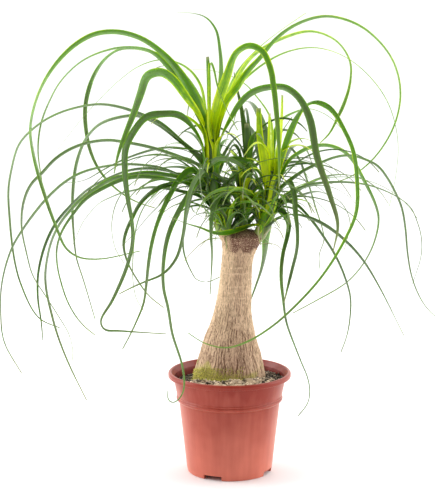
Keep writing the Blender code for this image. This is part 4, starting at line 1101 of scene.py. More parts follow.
def pot_profile():
    """Half section from the middle of the inner floor, over the rolled lip, to the underside's middle."""
    inner_heights = np.concatenate((np.linspace(FLOOR_TOP, RIDGE_FOOT, 12),
                                    np.linspace(RIDGE_TOP, LIP_BOTTOM, 6)))
    inner = np.column_stack((inner_wall_radius(inner_heights), inner_heights))
    corner = inner[0, 0] - FLOOR_ROUND
    foot_band = (FOOT_RADIUS + FOOT_BAND_PROUD, FOOT_BAND_TOP)
    ring_top = (FOOT_RING_INNER_RADIUS - FOOT_RING_DRAFT, FLOOR_UNDERSIDE)
    neck_foot = (UPPER_WALL_RADIUS, LIP_BOTTOM - 2 * NECK_ROUND)
    return np.vstack((
        straight((AXIS_GAP, FLOOR_TOP), (corner, FLOOR_TOP), 6),
        arc((corner, FLOOR_TOP + FLOOR_ROUND), FLOOR_ROUND, -90, -20, 4),
        inner[1:],
        arc((LIP_INNER_RADIUS + LIP_EDGE_ROUND, POT_HEIGHT - LIP_EDGE_ROUND), LIP_EDGE_ROUND, 180, 90, 5),
        arc((LIP_RADIUS - LIP_ROUND, POT_HEIGHT - LIP_ROUND), LIP_ROUND, 90, 0, 8),
        arc((LIP_RADIUS - LIP_UNDER_ROUND, LIP_BOTTOM + LIP_UNDER_ROUND), LIP_UNDER_ROUND, 0, -90, 4),
        arc((UPPER_WALL_RADIUS + NECK_ROUND, LIP_BOTTOM - NECK_ROUND), NECK_ROUND, 90, 180, 3),
        straight(neck_foot, (RIDGE_TOP_RADIUS, RIDGE_TOP + HOLLOW_START), 10),
        arc((RIDGE_TOP_RADIUS + HOLLOW_OUT, RIDGE_TOP + HOLLOW_UP), HOLLOW_ROUND, 180, 225, 3),
        arc((RIDGE_RADIUS - RIDGE_ROUND, RIDGE_HEIGHT + RIDGE_EASE), RIDGE_ROUND, 52, -38, 7),
        straight((RIDGE_RADIUS - UNDER_RIDGE_IN, RIDGE_HEIGHT - UNDER_RIDGE_DOWN),
                 (RIDGE_FOOT_RADIUS, RIDGE_FOOT), 3),
        straight((RIDGE_FOOT_RADIUS, RIDGE_FOOT - RIDGE_EASE), foot_band, 26),
        straight(foot_band, (FOOT_RADIUS, FOOT_CHAMFER), 3),
        arc((FOOT_RADIUS - FOOT_CHAMFER, FOOT_CHAMFER), FOOT_CHAMFER, 0, -90, 3),
        straight((FOOT_RING_INNER_RADIUS, 0.0), ring_top, 3),
        straight(ring_top, (AXIS_GAP, FLOOR_UNDERSIDE), 6),
        ((AXIS_GAP, FLOOR_UNDERSIDE),),
    ))


def boxes_and_drills():
    """Cutters: a box at each notch of the foot ring and a round bar at each drain hole."""
    shapes = []
    corners = np.array(((-1, -1), (1, -1), (1, 1), (-1, 1))) / 2 * (NOTCH_WIDTH, NOTCH_DEPTH)
    for quarter in range(NOTCH_COUNT):
        turn = NOTCH_TURN + quarter * math.tau / NOTCH_COUNT
        middle = around((FOOT_RADIUS + FOOT_RING_INNER_RADIUS) / 2, turn)
        ring = middle + corners[:, :1] * about_z(1.0, turn, 0.0) + corners[:, 1:] * around(1.0, turn)
        rise = NOTCH_HEIGHT * UP
        shapes.append(skin(np.stack((ring - rise, ring + rise))))
    ends = ((DRAIN_RADIUS, FLOOR_UNDERSIDE - 2 * WALL), (DRAIN_RADIUS, FLOOR_TOP + WALL))
    bar = turned(np.array(ends), DRAIN_STEPS)
    for hole in range(DRAIN_COUNT):
        shapes.append(skin(bar + around(DRAIN_CIRCLE, NOTCH_TURN + hole * math.tau / DRAIN_COUNT)))
    return shapes


def applied(thing):
    """Replace an object's mesh with what its modifiers make of it."""
    bpy.context.view_layer.update()
    mesh = bpy.data.meshes.new_from_object(thing.evaluated_get(bpy.context.evaluated_depsgraph_get()))
    thing.modifiers.clear()
    thing.data = mesh


def make_pot(settings):
    """The moulded pot: its half section carried round, less the notches and drain holes."""
    pot = joined("pot_shell", [skin(turned(pot_profile(), settings.steps))],
                 [plastic_finish(settings), filmed_and_shaded_finish(settings)])
    cutter = joined("pot_cutter", boxes_and_drills(), [])
    boolean = pot.modifiers.new("notches and drains", "BOOLEAN")
    boolean.operation = "DIFFERENCE"
    boolean.object = cutter
    applied(pot)
    bpy.data.objects.remove(cutter, do_unlink=True)
    centres = np.empty(3 * len(pot.data.polygons))
    pot.data.polygons.foreach_get("center", centres)
    x, y, z = centres.reshape(-1, 3).T
    # The inside's faces take the filmed finish, which is darkened as painted shade inside the pot
    inside = (np.hypot(x, y) < inner_wall_radius(z) + WALL / 2) & (z > FLOOR_TOP - WALL / 2)
    pot.data.polygons.foreach_set("material_index", inside.astype(np.int32))
    pot.data.shade_smooth()
    pot.data.set_sharp_from_angle(angle=math.radians(POT_SHARP))
    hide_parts("pot")
    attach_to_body(pot, "root")
    return pot


# Soil


def front_half(y):
    """0 behind the trunk's middle, and rising to 1 at its front face."""
    return smooth_step(-y, *FRONT_HALF)


def soil_mound(x, y):
    """Loose crumbs heaped against the trunk at the front, falling off towards the pot's wall."""
    fall = smooth_step(np.hypot(x, y), TRUNK_OUTLINE[2, 1], UPPER_WALL_RADIUS)
    return (SOIL_MOUND + (SOIL_MOUND_AT_WALL - SOIL_MOUND) * fall) * front_half(y)


def soil_height(x, y):
    """Surface of the soil: a slope up to the front and right, a hump at the trunk and low waves."""
    slope = SOIL_SLOPE * (0.6 * x - 0.8 * y) / UPPER_WALL_RADIUS
    hump = SOIL_HUMP * np.exp(-((np.hypot(x, y) - SOIL_HUMP_RADIUS) / SOIL_HUMP_WIDTH) ** 2)
    first, second, third = SOIL_WAVES
    waves = np.sin(x * first + 1.0) * np.cos(y * second) + 0.6 * np.sin((x + y) * third + 2.0)
    return SOIL_LEVEL + slope + hump + SOIL_BUMP * waves + soil_mound(x, y)


def crumbs(x, y):
    """Crumb relief from 0 to 1: lumps of three sizes with flat hollows between them, and fine grit."""
    flat = np.stack((x, y, 0 * x), axis=-1)
    lumps = 0.5 + 0.5 * fractal(flat, CRUMB_SIZE, 3, 31)
    grit = noise(flat, GRIT_SIZE, 47)
    return np.clip(0.75 * smooth_step(lumps, 0.30, 0.80) + 0.35 * grit, 0.0, 1.0)


def make_soil(settings):
    """The soil: up the trunk's hole, over its crumbed surface, down the pot's wall and along its floor."""
    hole = TRUNK_OUTLINE[2, 1] + SOIL_GAP
    outer = inner_wall_radius(SOIL_LEVEL) - SOIL_GAP
    base = TRUNK_OUTLINE[0, 0] - SOIL_GAP
    inside = np.vstack((
        straight((AXIS_GAP, base), (TRUNK_OUTLINE[0, 1], base), 3),
        straight((TRUNK_OUTLINE[0, 1] + SOIL_GAP, base), (hole, SOIL_LEVEL - HOLE_DROP), 3),
    ))
    edge = (outer, SOIL_LEVEL)
    surface = np.vstack((straight((hole, SOIL_LEVEL), edge, SOIL_RINGS), (edge,)))
    side_heights = np.concatenate((np.linspace(SOIL_LEVEL - WALL_DROP, RIDGE_TOP, 3),
                                   (RIDGE_FOOT, FLOOR_TOP + SOIL_GAP)))
    side = np.column_stack((inner_wall_radius(side_heights) - SOIL_GAP, side_heights))
    floor = straight((side[-1, 0], side[-1, 1]), (AXIS_GAP, side[-1, 1]), 4)[1:]
    rings = turned(np.vstack((inside, surface, side, floor)), SOIL_STEPS)
    top = slice(len(inside), len(inside) + len(surface))
    x, y = rings[top, :, 0], rings[top, :, 1]
    beside_hole = fading(np.hypot(x, y), hole, hole + MOUND_LEAN_REACH)
    inwards = 1.0 - MOUND_LEAN * beside_hole * front_half(y)
    x, y = x * inwards, y * inwards
    rings[top, :, 0], rings[top, :, 1] = x, y
    relief = crumbs(x, y)
    radius = np.hypot(x, y)
    settled = smooth_step(radius, hole - SETTLING / 2, hole + SETTLING)
    settled = settled * fading(radius, outer - SETTLING, outer)
    rings[top, :, 2] = soil_height(x, y) + settings.crumb * (relief - 0.45) * settled
    # Tone from the crumbs' relief: pale dry tops, and hollows painted dark as shade; paler in front of the
    # trunk
    front = smooth_step(-y, *PALE_FRONT)
    tone = np.zeros(rings.shape[:2])
    tone[top] = np.clip(relief * (0.26 + 0.94 * front) + 0.14 * front, 0.0, 1.0)
    soil = joined("soil_bed", [skin(rings, {"tone": tone})], [soil_finish(settings)], sharp=SOIL_SHARP)
    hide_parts("soil")
    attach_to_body(soil, "root")
    return soil


def scattered(solid, faces, places, axes, sizes, tones):
    """Copies of a small solid: its corners by the size along each of three axes, set at each place."""
    points = places[:, None, :] + np.einsum("mk,nk,nkj->nmj", solid, sizes, axes)
    offsets = np.arange(len(places)) * len(solid)
    blocks = [(np.array(block)[None] + offsets[:, None, None]).reshape(-1, len(block[0])) for block in faces]
    tone = np.repeat(tones, len(solid))
    return {"points": points.reshape(-1, 3), "faces": blocks, "values": {"tone": tone}, "slot": 0}


def random_axes(rng, count, tilt):
    """Three square axes for each copy: a random heading, tipped by up to the tilt."""
    first = unit(about_z(1.0, rng.uniform(0.0, math.tau, count), rng.uniform(-tilt, tilt, count)))
    up = np.column_stack((rng.uniform(-tilt, tilt, count), rng.uniform(-tilt, tilt, count), np.ones(count)))
    second = unit(np.cross(up, first))
    return np.stack((first, second, np.cross(first, second)), axis=1)


CHIP_CORNERS = np.array((
    (-0.5, -0.3, -0.4), (0.35, -0.5, -0.5), (0.5, 0.2, -0.4), (-0.2, 0.5, -0.5),
    (-0.4, -0.35, 0.4), (0.3, -0.4, 0.5), (0.45, 0.3, 0.35), (-0.35, 0.4, 0.5),
))
CHIP_SIDES = ((0, 3, 2, 1), (4, 5, 6, 7), (0, 1, 5, 4), (1, 2, 6, 5), (2, 3, 7, 6), (3, 0, 4, 7))


def make_chips(settings):
    """Chips and crumbs on the soil: skewed slabs, pale at the front and dark at the sides."""
    rng = np.random.default_rng(CHIP_SEED)
    count = settings.chips
    radii = np.sqrt(rng.uniform(CHIPS_FROM**2, CHIPS_TO**2, count))
    x, y, _ = around(radii, rng.uniform(0.0, math.tau, count)).T
    pale = rng.uniform(0.0, 1.0, count) < PALE_BEHIND + PALE_GAINED * smooth_step(-y, *PALE_OVER)
    length = settings.chip_size * rng.uniform(*CHIP_LENGTHS, count) ** CHIP_SMALLNESS
    sizes = np.column_stack((length, length * rng.uniform(*CHIP_BREADTHS, count),
                             length * rng.uniform(*CHIP_THICKNESSES, count)))
    tones = np.where(pale, rng.uniform(*PALE_TONES, count), rng.uniform(*DARK_TONES, count))
    z = soil_height(x, y) + settings.crumb * CHIP_SEAT + sizes[:, 2] * CHIP_SEAT
    shape = scattered(CHIP_CORNERS, [CHIP_SIDES], np.column_stack((x, y, z)),
                      random_axes(rng, count, CHIP_TILT), sizes, tones)
    chips = joined("bark_chips", [shape], [chip_finish(settings)], sharp=CHIP_SHARP)
    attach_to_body(chips, "root")
    return chips


# Trunk


def trunk_line(heights):
    """Radius and lean of the trunk at heights, by a cubic through its outline."""
    rows = hermite(TRUNK_OUTLINE[:, 0], TRUNK_OUTLINE[:, 1:], np.clip(heights, *TRUNK_OUTLINE[(0, -1), 0]))
    return rows[:, 0], rows[:, 1]


def trunk_swell(turn, height, depth):
    """Bark relief at a turn and height: fissures cut inwards, and the callus lumps at the top."""
    fade = np.clip((height - TRUNK_SOIL_LINE) / FISSURE_FADE, 0.0, 1.0)
    wander = 0.9 * np.sin(2 * turn + 9 * height) + 0.4 * np.sin(3 * turn - 31 * height)
    fissures = -depth * (0.5 + 0.5 * np.sin(FISSURE_COUNT * turn + 2.2 * wander))
    top = np.clip((height - CALLUS_BOTTOM) / (CALLUS_FULL - CALLUS_BOTTOM), 0.0, 1.0)
    lumps = CALLUS_SWELL * (np.sin(3 * turn + 0.8) + 0.6 * np.sin(5 * turn + 2.0))
    return fade * fissures + top * lumps


def bark_cracks(turn, height):
    """Cracks from 0 to 1: upright lines spaced round the trunk, swayed by noise and broken along it."""
    total = np.zeros(np.broadcast(turn, height).shape)
    for lines, sway, length, width, weight, seed in CRACK_SETS:
        swayed = sway * fractal(about_z(4.0, turn, height / length), 1.0, 3, seed)
        cell = lines * turn / math.tau + swayed
        nearness = (cell - np.floor(cell) - 0.5) / width
        own = about_z(lines / 5, turn, 1.6 * height / length)
        broken = smooth_step(noise(own, 1.0, seed + 5), 0.22, 0.62)
        total = np.maximum(total, weight * broken * np.exp(-nearness ** 2))
    return total


def leaf_scars(skin_points, height):
    """Leaf-scar rings from 0 to 1: thin level lines, each with its own waver and gaps."""
    scar = np.zeros_like(height)
    for index, middle in enumerate(SCAR_HEIGHTS):
        waver = SCAR_WAVER * fractal(skin_points, SCAR_WAVER_SIZE, 2, 71 + index)
        broken = smooth_step(noise(skin_points, SCAR_GAP_SIZE, 81 + index), 0.28, 0.50)
        scar = np.maximum(scar, broken * np.exp(-((height - middle - waver) / SCAR_WIDTH) ** 2))
    return scar


def trunk_tints(turn, height, skin_points, above):
    """Shares of moss and of the pinkish tint: moss low down in patches, pink down the front and foot."""
    left = 0.35 + 0.65 * smooth_step(-np.cos(turn), 0.15, 0.85)
    line = SOIL_LEVEL + MOSS_RISE + MOSS_REACH * noise(skin_points, MOSS_REACH_SIZE, 97) * left
    front_left = smooth_step(np.cos(turn - 1.2 * math.pi), 0.3, 0.95)
    patch = noise(skin_points, MOSS_PATCH_SIZE, 98) + 0.24 * front_left
    moss = above * fading(height, line - MOSS_FULL_BELOW, line + MOSS_GONE_ABOVE)
    moss = moss * smooth_step(patch, 0.40, 0.72)
    front = np.exp(-((turn - 1.56 * math.pi) / 0.62) ** 2)
    low = np.maximum(fading(height, *PINK_FADE) * (0.45 + 0.55 * front), 0.62 * front)
    return {"moss": moss, "low": low}


def make_trunk(settings):
    """The trunk: rings along its outline, with fissures, leaf-scar rings, callus lumps and a domed top."""
    side = np.linspace(TRUNK_OUTLINE[0, 0], TRUNK_OUTLINE[-1, 0], TRUNK_SIDE_RINGS)
    radii, leans = trunk_line(side)
    dome = np.linspace(1.0, DOME_END, DOME_RINGS + 1)[1:]
    crown = TRUNK_OUTLINE[-1, 0] + (TRUNK_TOP - TRUNK_OUTLINE[-1, 0]) * (1.0 - dome**2)
    heights = np.concatenate((side, crown))[:, None]
    radii = np.concatenate((radii, radii[-1] * dome))[:, None]
    leans = np.concatenate((leans, np.full(len(dome), leans[-1])))[:, None]
    turns = np.linspace(0.0, math.tau, TRUNK_STEPS, endpoint=False)
    z, turn = np.broadcast_arrays(heights, turns)
    cracks = bark_cracks(turn, z)
    above = smooth_step(z, *SOIL_BAND)
    on_side = np.ones_like(z)
    on_side[len(side):] = np.linspace(1.0, 0.0, len(crown))[:, None]
    skin_points = about_z(BARK_RADIUS, turn, z)
    neck = smooth_step(z, *NECK_RISE) * fading(z, *NECK_FADE)
    scar = leaf_scars(skin_points, z) * neck
    calm = 1.0 - 0.55 * neck
    edge = z + CALLUS_WAVER * (noise(skin_points, CALLUS_WAVER_SIZE, 92) - 0.5)
    callus = smooth_step(edge, CALLUS_FOOT, CALLUS_BOTTOM)
    lumps = fractal(skin_points, BARK_LUMP_SIZE, 3, 61)
    relief = above * (-settings.fissure * 0.95 * cracks * calm + BARK_LUMPS * lumps * calm
                      + SCAR_RELIEF * scar)
    relief += callus * CALLUS_LUMPS * fractal(skin_points, CALLUS_LUMP_SIZE, 3, 91)
    radius = radii + on_side * (trunk_swell(turn, z, 0.5 * settings.fissure) + relief)
    top_bumps = (1.0 - on_side) * TOP_LUMPS * fractal(about_z(radius, turn, z), CALLUS_LUMP_SIZE, 3, 95)
    rings = about_z(radius, turn, z + top_bumps)
    rings[..., 0] += leans
    front_right = smooth_step(np.cos(turn - 1.68 * math.pi), 0.25, 0.6)
    values = {"crack": np.clip(cracks * (1.0 - 0.5 * neck), 0.0, 1.0),
              **trunk_tints(turn, z, skin_points, above), "scar": scar * 0.8,
              "callus": callus * np.maximum(front_right, smooth_step(z, *CALLUS_ALL_ROUND))}
    trunk = joined("trunk_bark", [skin(rings, values)], [bark_finish(settings)])
    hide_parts("trunk")
    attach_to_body(trunk, "root")
    return trunk


TUFT_CORNERS = np.array(((0.5, 0.0, 0.0), (-0.25, 0.43, 0.0), (-0.25, -0.43, 0.0), (0.0, 0.0, 1.0)))
TUFT_SIDES = ((0, 2, 1), (0, 1, 3), (1, 2, 3), (2, 0, 3))
TUFT_TONES = (0.1, 0.1, 0.1, 0.9)


def make_moss(settings):
    """Moss tufts: slim three-sided points that stand out of the trunk's foot and the soil beside it."""
    rng = np.random.default_rng(MOSS_SEED)
    count = settings.tufts
    turns = rng.normal(MOSS_TURN, MOSS_SPREAD, count)
    cushions = FIRST_CUSHION + rng.integers(0, CUSHION_COUNT, count) * CUSHION_STEP
    turns = 0.45 * turns + 0.55 * cushions + rng.normal(0.0, CUSHION_SPREAD, count)
    radii = MOSS_RADIUS + np.abs(rng.normal(0.0, MOSS_STRAY, count))
    on_trunk = rng.uniform(0.0, 1.0, count) < TUFTS_ON_TRUNK
    rise = np.where(on_trunk, TUFT_CLIMB * rng.uniform(0.0, 1.0, count) ** TUFT_LOWNESS, 0.0)
    z = soil_height(*around(radii, turns).T[:2]) + rise - TUFT_SINK
    radii = np.where(on_trunk, trunk_line(z)[0] - TUFT_DEPTH, radii)
    outward = around(1.0, turns)
    lean = rng.uniform(*TUFT_LEANS, count)[:, None]
    up = unit(UP + lean * outward + rng.normal(0.0, 0.3, (count, 3)))
    first = unit(np.cross(up, outward) + 1e-6)
    axes = np.stack((first, np.cross(up, first), up), axis=1)
    height = rng.uniform(*TUFT_HEIGHTS, count)
    sizes = np.column_stack((height * TUFT_BREADTH, height * TUFT_BREADTH, height))
    shape = scattered(TUFT_CORNERS, [TUFT_SIDES], around(radii, turns, z), axes, sizes, np.zeros(count))
    own_tones = np.repeat(rng.uniform(-0.1, 0.2, count), len(TUFT_CORNERS))
    shape["values"]["tone"] = np.tile(TUFT_TONES, count) + own_tones
    moss = joined("moss_tufts", [shape], [moss_finish(settings)])
    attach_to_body(moss, "root")
    return moss


# Packed leaves, found again on their solids


def seen_places(columns, rows, depths):
    """Places at given depths (Y) that the photograph shows at given pixels."""
    across = (columns - PHOTO_WIDTH / 2) / VIEW_FOCAL_PIXELS
    up = (PHOTO_HEIGHT / 2 - rows) / VIEW_FOCAL_PIXELS
    ray_y = math.cos(VIEW_PITCH) + up * math.sin(VIEW_PITCH)
    ray_z = up * math.cos(VIEW_PITCH) - math.sin(VIEW_PITCH)
    reach = (depths - VIEWPOINT[1]) / ray_y
    return np.column_stack((VIEWPOINT[0] + reach * across, depths, VIEWPOINT[2] + reach * ray_z))


def stem_rows(stem):
    """A stem's places and radii in metres."""
    return np.array(stem, float) / 1000


def stem_root(stem, height, order):
    """The place in a stem at a height, set off its axis by the leaf's order round the stem."""
    rows = stem_rows(stem)
    height = float(np.clip(height, rows[0, 2] + ROOT_ABOVE_FOOT, rows[-1, 2] - ROOT_BELOW_TIP))
    x, y, _, radius = sampled([height], rows[:, 2], rows)[0]
    turn = math.radians(GOLDEN_ANGLE * order)
    offset = ROOT_OFFSET * radius
    lift = ROOT_LIFT * (order % ROOT_LAYERS)
    return np.array((x + offset * math.cos(turn), y + offset * math.sin(turn), height - lift))


def seen_course(stem, order, trace, tip_depth, belly):
    """A traced leaf in space: its depth swings from the stem's to the tip's, with a belly between."""
    marks = np.array([[float(v) for v in mark.split(",")] for mark in trace.split()])
    along = travelled_along(marks)
    along /= along[-1]
    root_guess = seen_places(marks[:1, 0], marks[:1, 1], np.array([stem[2][1] / 1000]))[0]
    root = stem_root(stem, root_guess[2] - ROOT_SINK, order)
    swing = (1.0 - np.cos(math.pi * np.minimum(1.0, along / SWING_END))) / 2
    depths = root[1] + (tip_depth - root[1]) * swing + belly * np.sin(math.pi * along)
    return np.vstack((root, seen_places(marks[:, 0], marks[:, 1], depths)))


def arching_course(stem, order, share, heading, length, rise):
    """A leaf that leaves the stem at a rise and bends down steadily, in one upright plane."""
    rows = stem_rows(stem)
    root = stem_root(stem, rows[1, 2] + share * (rows[-1, 2] - rows[1, 2]), order)
    steps = np.linspace(0.0, 1.0, ARCH_STEPS)
    angles = np.radians(rise - (rise + DROOP) * steps**ARCH_POWER)[:-1]
    stride = length / (ARCH_STEPS - 1)
    outward = np.concatenate(([0.0], np.cumsum(np.cos(angles) * stride)))
    upward = np.concatenate(([0.0], np.cumsum(np.sin(angles) * stride)))
    flat = np.array((math.cos(heading), math.sin(heading), 0.0))
    return root + outward[:, None] * flat + upward[:, None] * UP


def width_share(along, blunt):
    """Width along a blade: narrow in the stem, full soon after, then thinning to a thread."""
    root = np.clip(ROOT_WIDTH + along / FULL_WIDTH_AT * (1.0 - ROOT_WIDTH), 0.0, 1.0)
    if blunt:
        return root * (1.0 - CUT_TAPER * along**3)
    return root * np.clip(1.0 - along**TIP_LATENESS, 0.0, 1.0) ** TIP_POWER


def bends_of(line):
    """The angle turned at each of a line's inner points."""
    headings = unit(np.diff(line, axis=0))
    return np.arccos(np.clip(np.sum(headings[1:] * headings[:-1], axis=1), -1.0, 1.0))


def packed_rings(course):
    """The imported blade's ring places, set closer together where it bends, and their shares along it."""
    dense = smooth_curve(course, COURSE_SAMPLES)
    lengths = np.linalg.norm(np.diff(dense, axis=0), axis=1)
    weights = lengths / RING_SPACING + np.concatenate(([0.0], bends_of(dense))) / RING_BEND
    travelled = np.concatenate(([0.0], np.cumsum(weights)))
    count = int(np.clip(round(travelled[-1]), FEWEST_RINGS, MOST_RINGS))
    stops = np.linspace(0.0, travelled[-1], count)
    along = np.interp(stops, travelled, np.concatenate(([0.0], np.cumsum(lengths))) / np.sum(lengths))
    return sampled(stops, travelled, dense), along


def level_across(places):
    """The level direction across a leaf's heading, from its root to its farthest place."""
    reach = places - places[0]
    far = reach[np.argmax(np.hypot(reach[:, 0], reach[:, 1]))]
    heading = math.atan2(far[1], far[0])
    return np.array((-math.sin(heading), math.cos(heading), 0.0))


def twist_along(twist, along):
    """The twist along a blade: a share of it at the root, and all of it soon after."""
    return twist * (ROOT_TWIST + (1.0 - ROOT_TWIST) * np.clip(along / TWIST_END, 0.0, 1.0))


def rolled(sides, ups, turn):
    """The directions along a blade's width and out of its upper face, rolled by a turn at each point."""
    cosine, sine = np.cos(turn)[:, None], np.sin(turn)[:, None]
    return sides * cosine + ups * sine, ups * cosine - sides * sine


def packed_corners(course, width, twist, blunt):
    """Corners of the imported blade: two edges and a keel at each ring, turned by the twist."""
    places, along = packed_rings(course)
    tangents = unit(np.gradient(places, axis=0))
    across = level_across(places)
    sides = unit(across - (tangents @ across)[:, None] * tangents)
    edges, crowns = rolled(sides, np.cross(tangents, sides), twist_along(twist, along))
    half = np.maximum(width * width_share(along, blunt), THREAD_WIDTH)[:, None] / 2
    keel = np.maximum(2 * half * KEEL_SHARE, KEEL_LEAST)
    return np.stack((places - edges * half, places + edges * half, places - crowns * keel), axis=1)


def depth_shifts():
    """Pairs of tip and belly shifts in metres, the smallest first."""
    span = range(-SHIFT_REACH, SHIFT_REACH + 1)
    pairs = sorted(((tip, belly) for tip in span for belly in span),
                   key=lambda pair: (abs(pair[0]) + 1.5 * abs(pair[1]), pair))
    return [(tip * SHIFT_STEP, belly * SHIFT_STEP) for tip, belly in pairs]


def packed_course(name, courses, width, twist, blunt, corners):
    """The first course whose packed blade, past its root, has its corners among the solid's own."""
    for course in courses:
        blade = packed_corners(course, width, twist, blunt)
        outer = blade[max(1, round(ROOT_SHARE * len(blade))):].reshape(-1, 3)[::3]
        gaps = np.linalg.norm(outer[:, None] - corners[None], axis=-1).min(axis=1)
        if np.median(gaps) < MATCH_DISTANCE:
            return course
    raise RuntimeError(name + " isn't found on its packed shoot")


def packed_leaves(node, shoot):
    """Every leaf of a packed shoot: its course, width, twist, tone, cut end, shown widths and withering."""
    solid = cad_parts[node].data
    corners = np.empty(3 * len(solid.vertices))
    solid.vertices.foreach_get("co", corners)
    corners = np.unique(corners.reshape(-1, 3).round(6), axis=0)
    leaves = []
    for group, blunt in ((shoot["seen"], False), (shoot["cut_off"], True)):
        for name, (width, depth, twist, tone, trace) in group.items():
            courses = (seen_course(shoot["stem"], len(leaves), trace, depth / 100 + tip, belly)
                       for tip, belly in depth_shifts())
            width, twist = width / 1000, math.radians(twist)
            course = packed_course(name, courses, width, twist, blunt, corners)
            leaves.append((course, width, twist, tone, blunt, SHOWN_WIDTHS.get(name), 0.0))
    rule = shoot["rule"]
    seen = len(leaves)
    for index in range(rule["count"]):
        order = seen + index
        share = index / (rule["count"] - 1)
        heading = rule["heading"] + index * rule["step"]
        length, rise = (first + share * (last - first) for first, last in (rule["lengths"], rule["rises"]))
        courses = (arching_course(shoot["stem"], order, share, math.radians(heading + turn), length * cut,
                                  rise + lift)
                   for cut in SHORTENINGS for lift in LIFTS for turn in TURNS)
        course = packed_course(f"{node} leaf {order}", courses, rule["width"], 0.0, False, corners)
        leaves.append((course, rule["width"], 0.0, rule["tone"], False, rule["shown"], 0.0))
    return leaves


# Fine leaves


def even_line(course):
    """The course's smooth curve as points a step apart, softened, with its length so far."""
    dense = smooth_curve(course, LINE_SAMPLES)
    travelled = travelled_along(dense)
    stops = np.arange(0.0, travelled[-1], LINE_STEP)
    return softened(sampled(stops, travelled, dense), LINE_SOFTNESS), stops


def fine_stops(line):
    """The line's points that get a ring: closer together where it bends."""
    bends = np.concatenate(([0.0], bends_of(line), [0.0]))
    travelled = np.cumsum(LINE_STEP / FINE_SPACING + bends / FINE_BEND)
    count = int(np.clip(round(travelled[-1]), FINE_FEWEST_RINGS, FINE_MOST_RINGS))
    stops = np.linspace(travelled[0], travelled[-1], count)
    return np.unique(np.round(np.interp(stops, travelled, np.arange(len(line)))).astype(int))


def sheathed_course(stem, course):
    """The course with its root on the stem's axis, a little below, so that its base can hug the stem."""
    rows = stem_rows(stem)
    low = max(rows[0, 2] + SHEATH_ABOVE_FOOT, course[0, 2] - SHEATH_START)
    heights = np.array((low, max(low + SHEATH_RISE, course[0, 2])))
    return np.vstack((sampled(heights, rows[:, 2], rows[:, :3]), course[1:]))


def shown_turn(line, sides, ups, settled, width, shown):
    """The turn at which a blade of a width shows the shown width from the photograph's viewpoint.

    Turned fully to the viewpoint, a blade's edges point along tangent x view. It is turned from there
    by the arc cosine of shown / width, to the side on which its plain turn lies.
    """
    tangents = np.cross(sides, ups)
    facing = np.cross(tangents, VIEWPOINT - line)
    full = np.arctan2(np.sum(facing * ups, axis=1), np.sum(facing * sides, axis=1))
    full = np.unwrap(full, period=math.pi)
    full += math.pi * round(float(np.median(settled - full)) / math.pi)
    away = np.arccos(np.clip(shown / width, LEAST_SHOWN, 1.0))
    turn = full + math.copysign(1.0, float(np.median(settled - full))) * away
    return softened(turn[:, None], TURN_SOFTNESS)[:, 0]


def blade_frame(line):
    """Directions across a blade and out of its upper face along its line, before it is turned."""
    tangents = unit(np.gradient(line, axis=0))
    across = level_across(line)
    sides = softened(across - (tangents @ across)[:, None] * tangents, FRAME_SOFTNESS)
    sides = unit(sides - np.sum(sides * tangents, axis=1)[:, None] * tangents)
    return sides, np.cross(tangents, sides), across


def rolled_strip(spine, edge, crown, half, roll, thickness):
    """Places on both faces of a strip rolled about its line, for each ring and sample across it."""
    angle, radius = roll * LOOP, half / roll
    thick = thickness * np.clip(half / THIN_BELOW, LEAST_THICKNESS, 1.0) * (1.0 - MARGIN_THINNING * LOOP**2)
    points = (spine + (radius * np.sin(angle))[..., None] * edge
              + (radius * (1.0 - np.cos(angle)))[..., None] * crown)
    normal = np.cos(angle)[..., None] * crown - np.sin(angle)[..., None] * edge
    return points + normal * (FACE * thick / 2)[..., None]


def leaf_tones(tone, along, travelled, order):
    """A leaf's tone: painted glow at its base, drifting, and darker in its far part if it is mature."""
    fresh = fading(tone, *FRESH_TONES)
    painted_glow = (PAINTED_GLOW + FRESH_PAINTED_GLOW * fresh) * fading(travelled, PAINTED_GLOW_START, PAINTED_GLOW_END + FRESH_PAINTED_GLOW_REACH * fresh)
    drift = DRIFT * np.sin(travelled * DRIFT_WAVES + order)
    drift += FAR_DARKENING * smooth_step(along, *FAR_PART) * smooth_step(tone, *MATURE_TONES)
    return np.clip(tone - painted_glow * (1.0 - tone) + drift, 0.0, 1.0)


def leaf_dryness(rng, blunt, withered, along, travelled, above_foot):
    """How dry a leaf is along it: at its tip or its cut, and in the straw at the stem's foot."""
    if blunt:
        dry = CUT_DRYNESS * smooth_step(along, *CUT_EDGE)
    else:
        dry = smooth_step(along, *FAR_DRYING) * rng.uniform(*FAR_DRYNESS)
        dry += smooth_step(along, *TIP_DRYING) * rng.uniform(*TIP_DRYNESS)
    straw = STRAW_DRYNESS * fading(above_foot, *STRAW_HEIGHT) * fading(travelled, *STRAW_REACH)
    return np.maximum(np.maximum(dry, withered), straw)


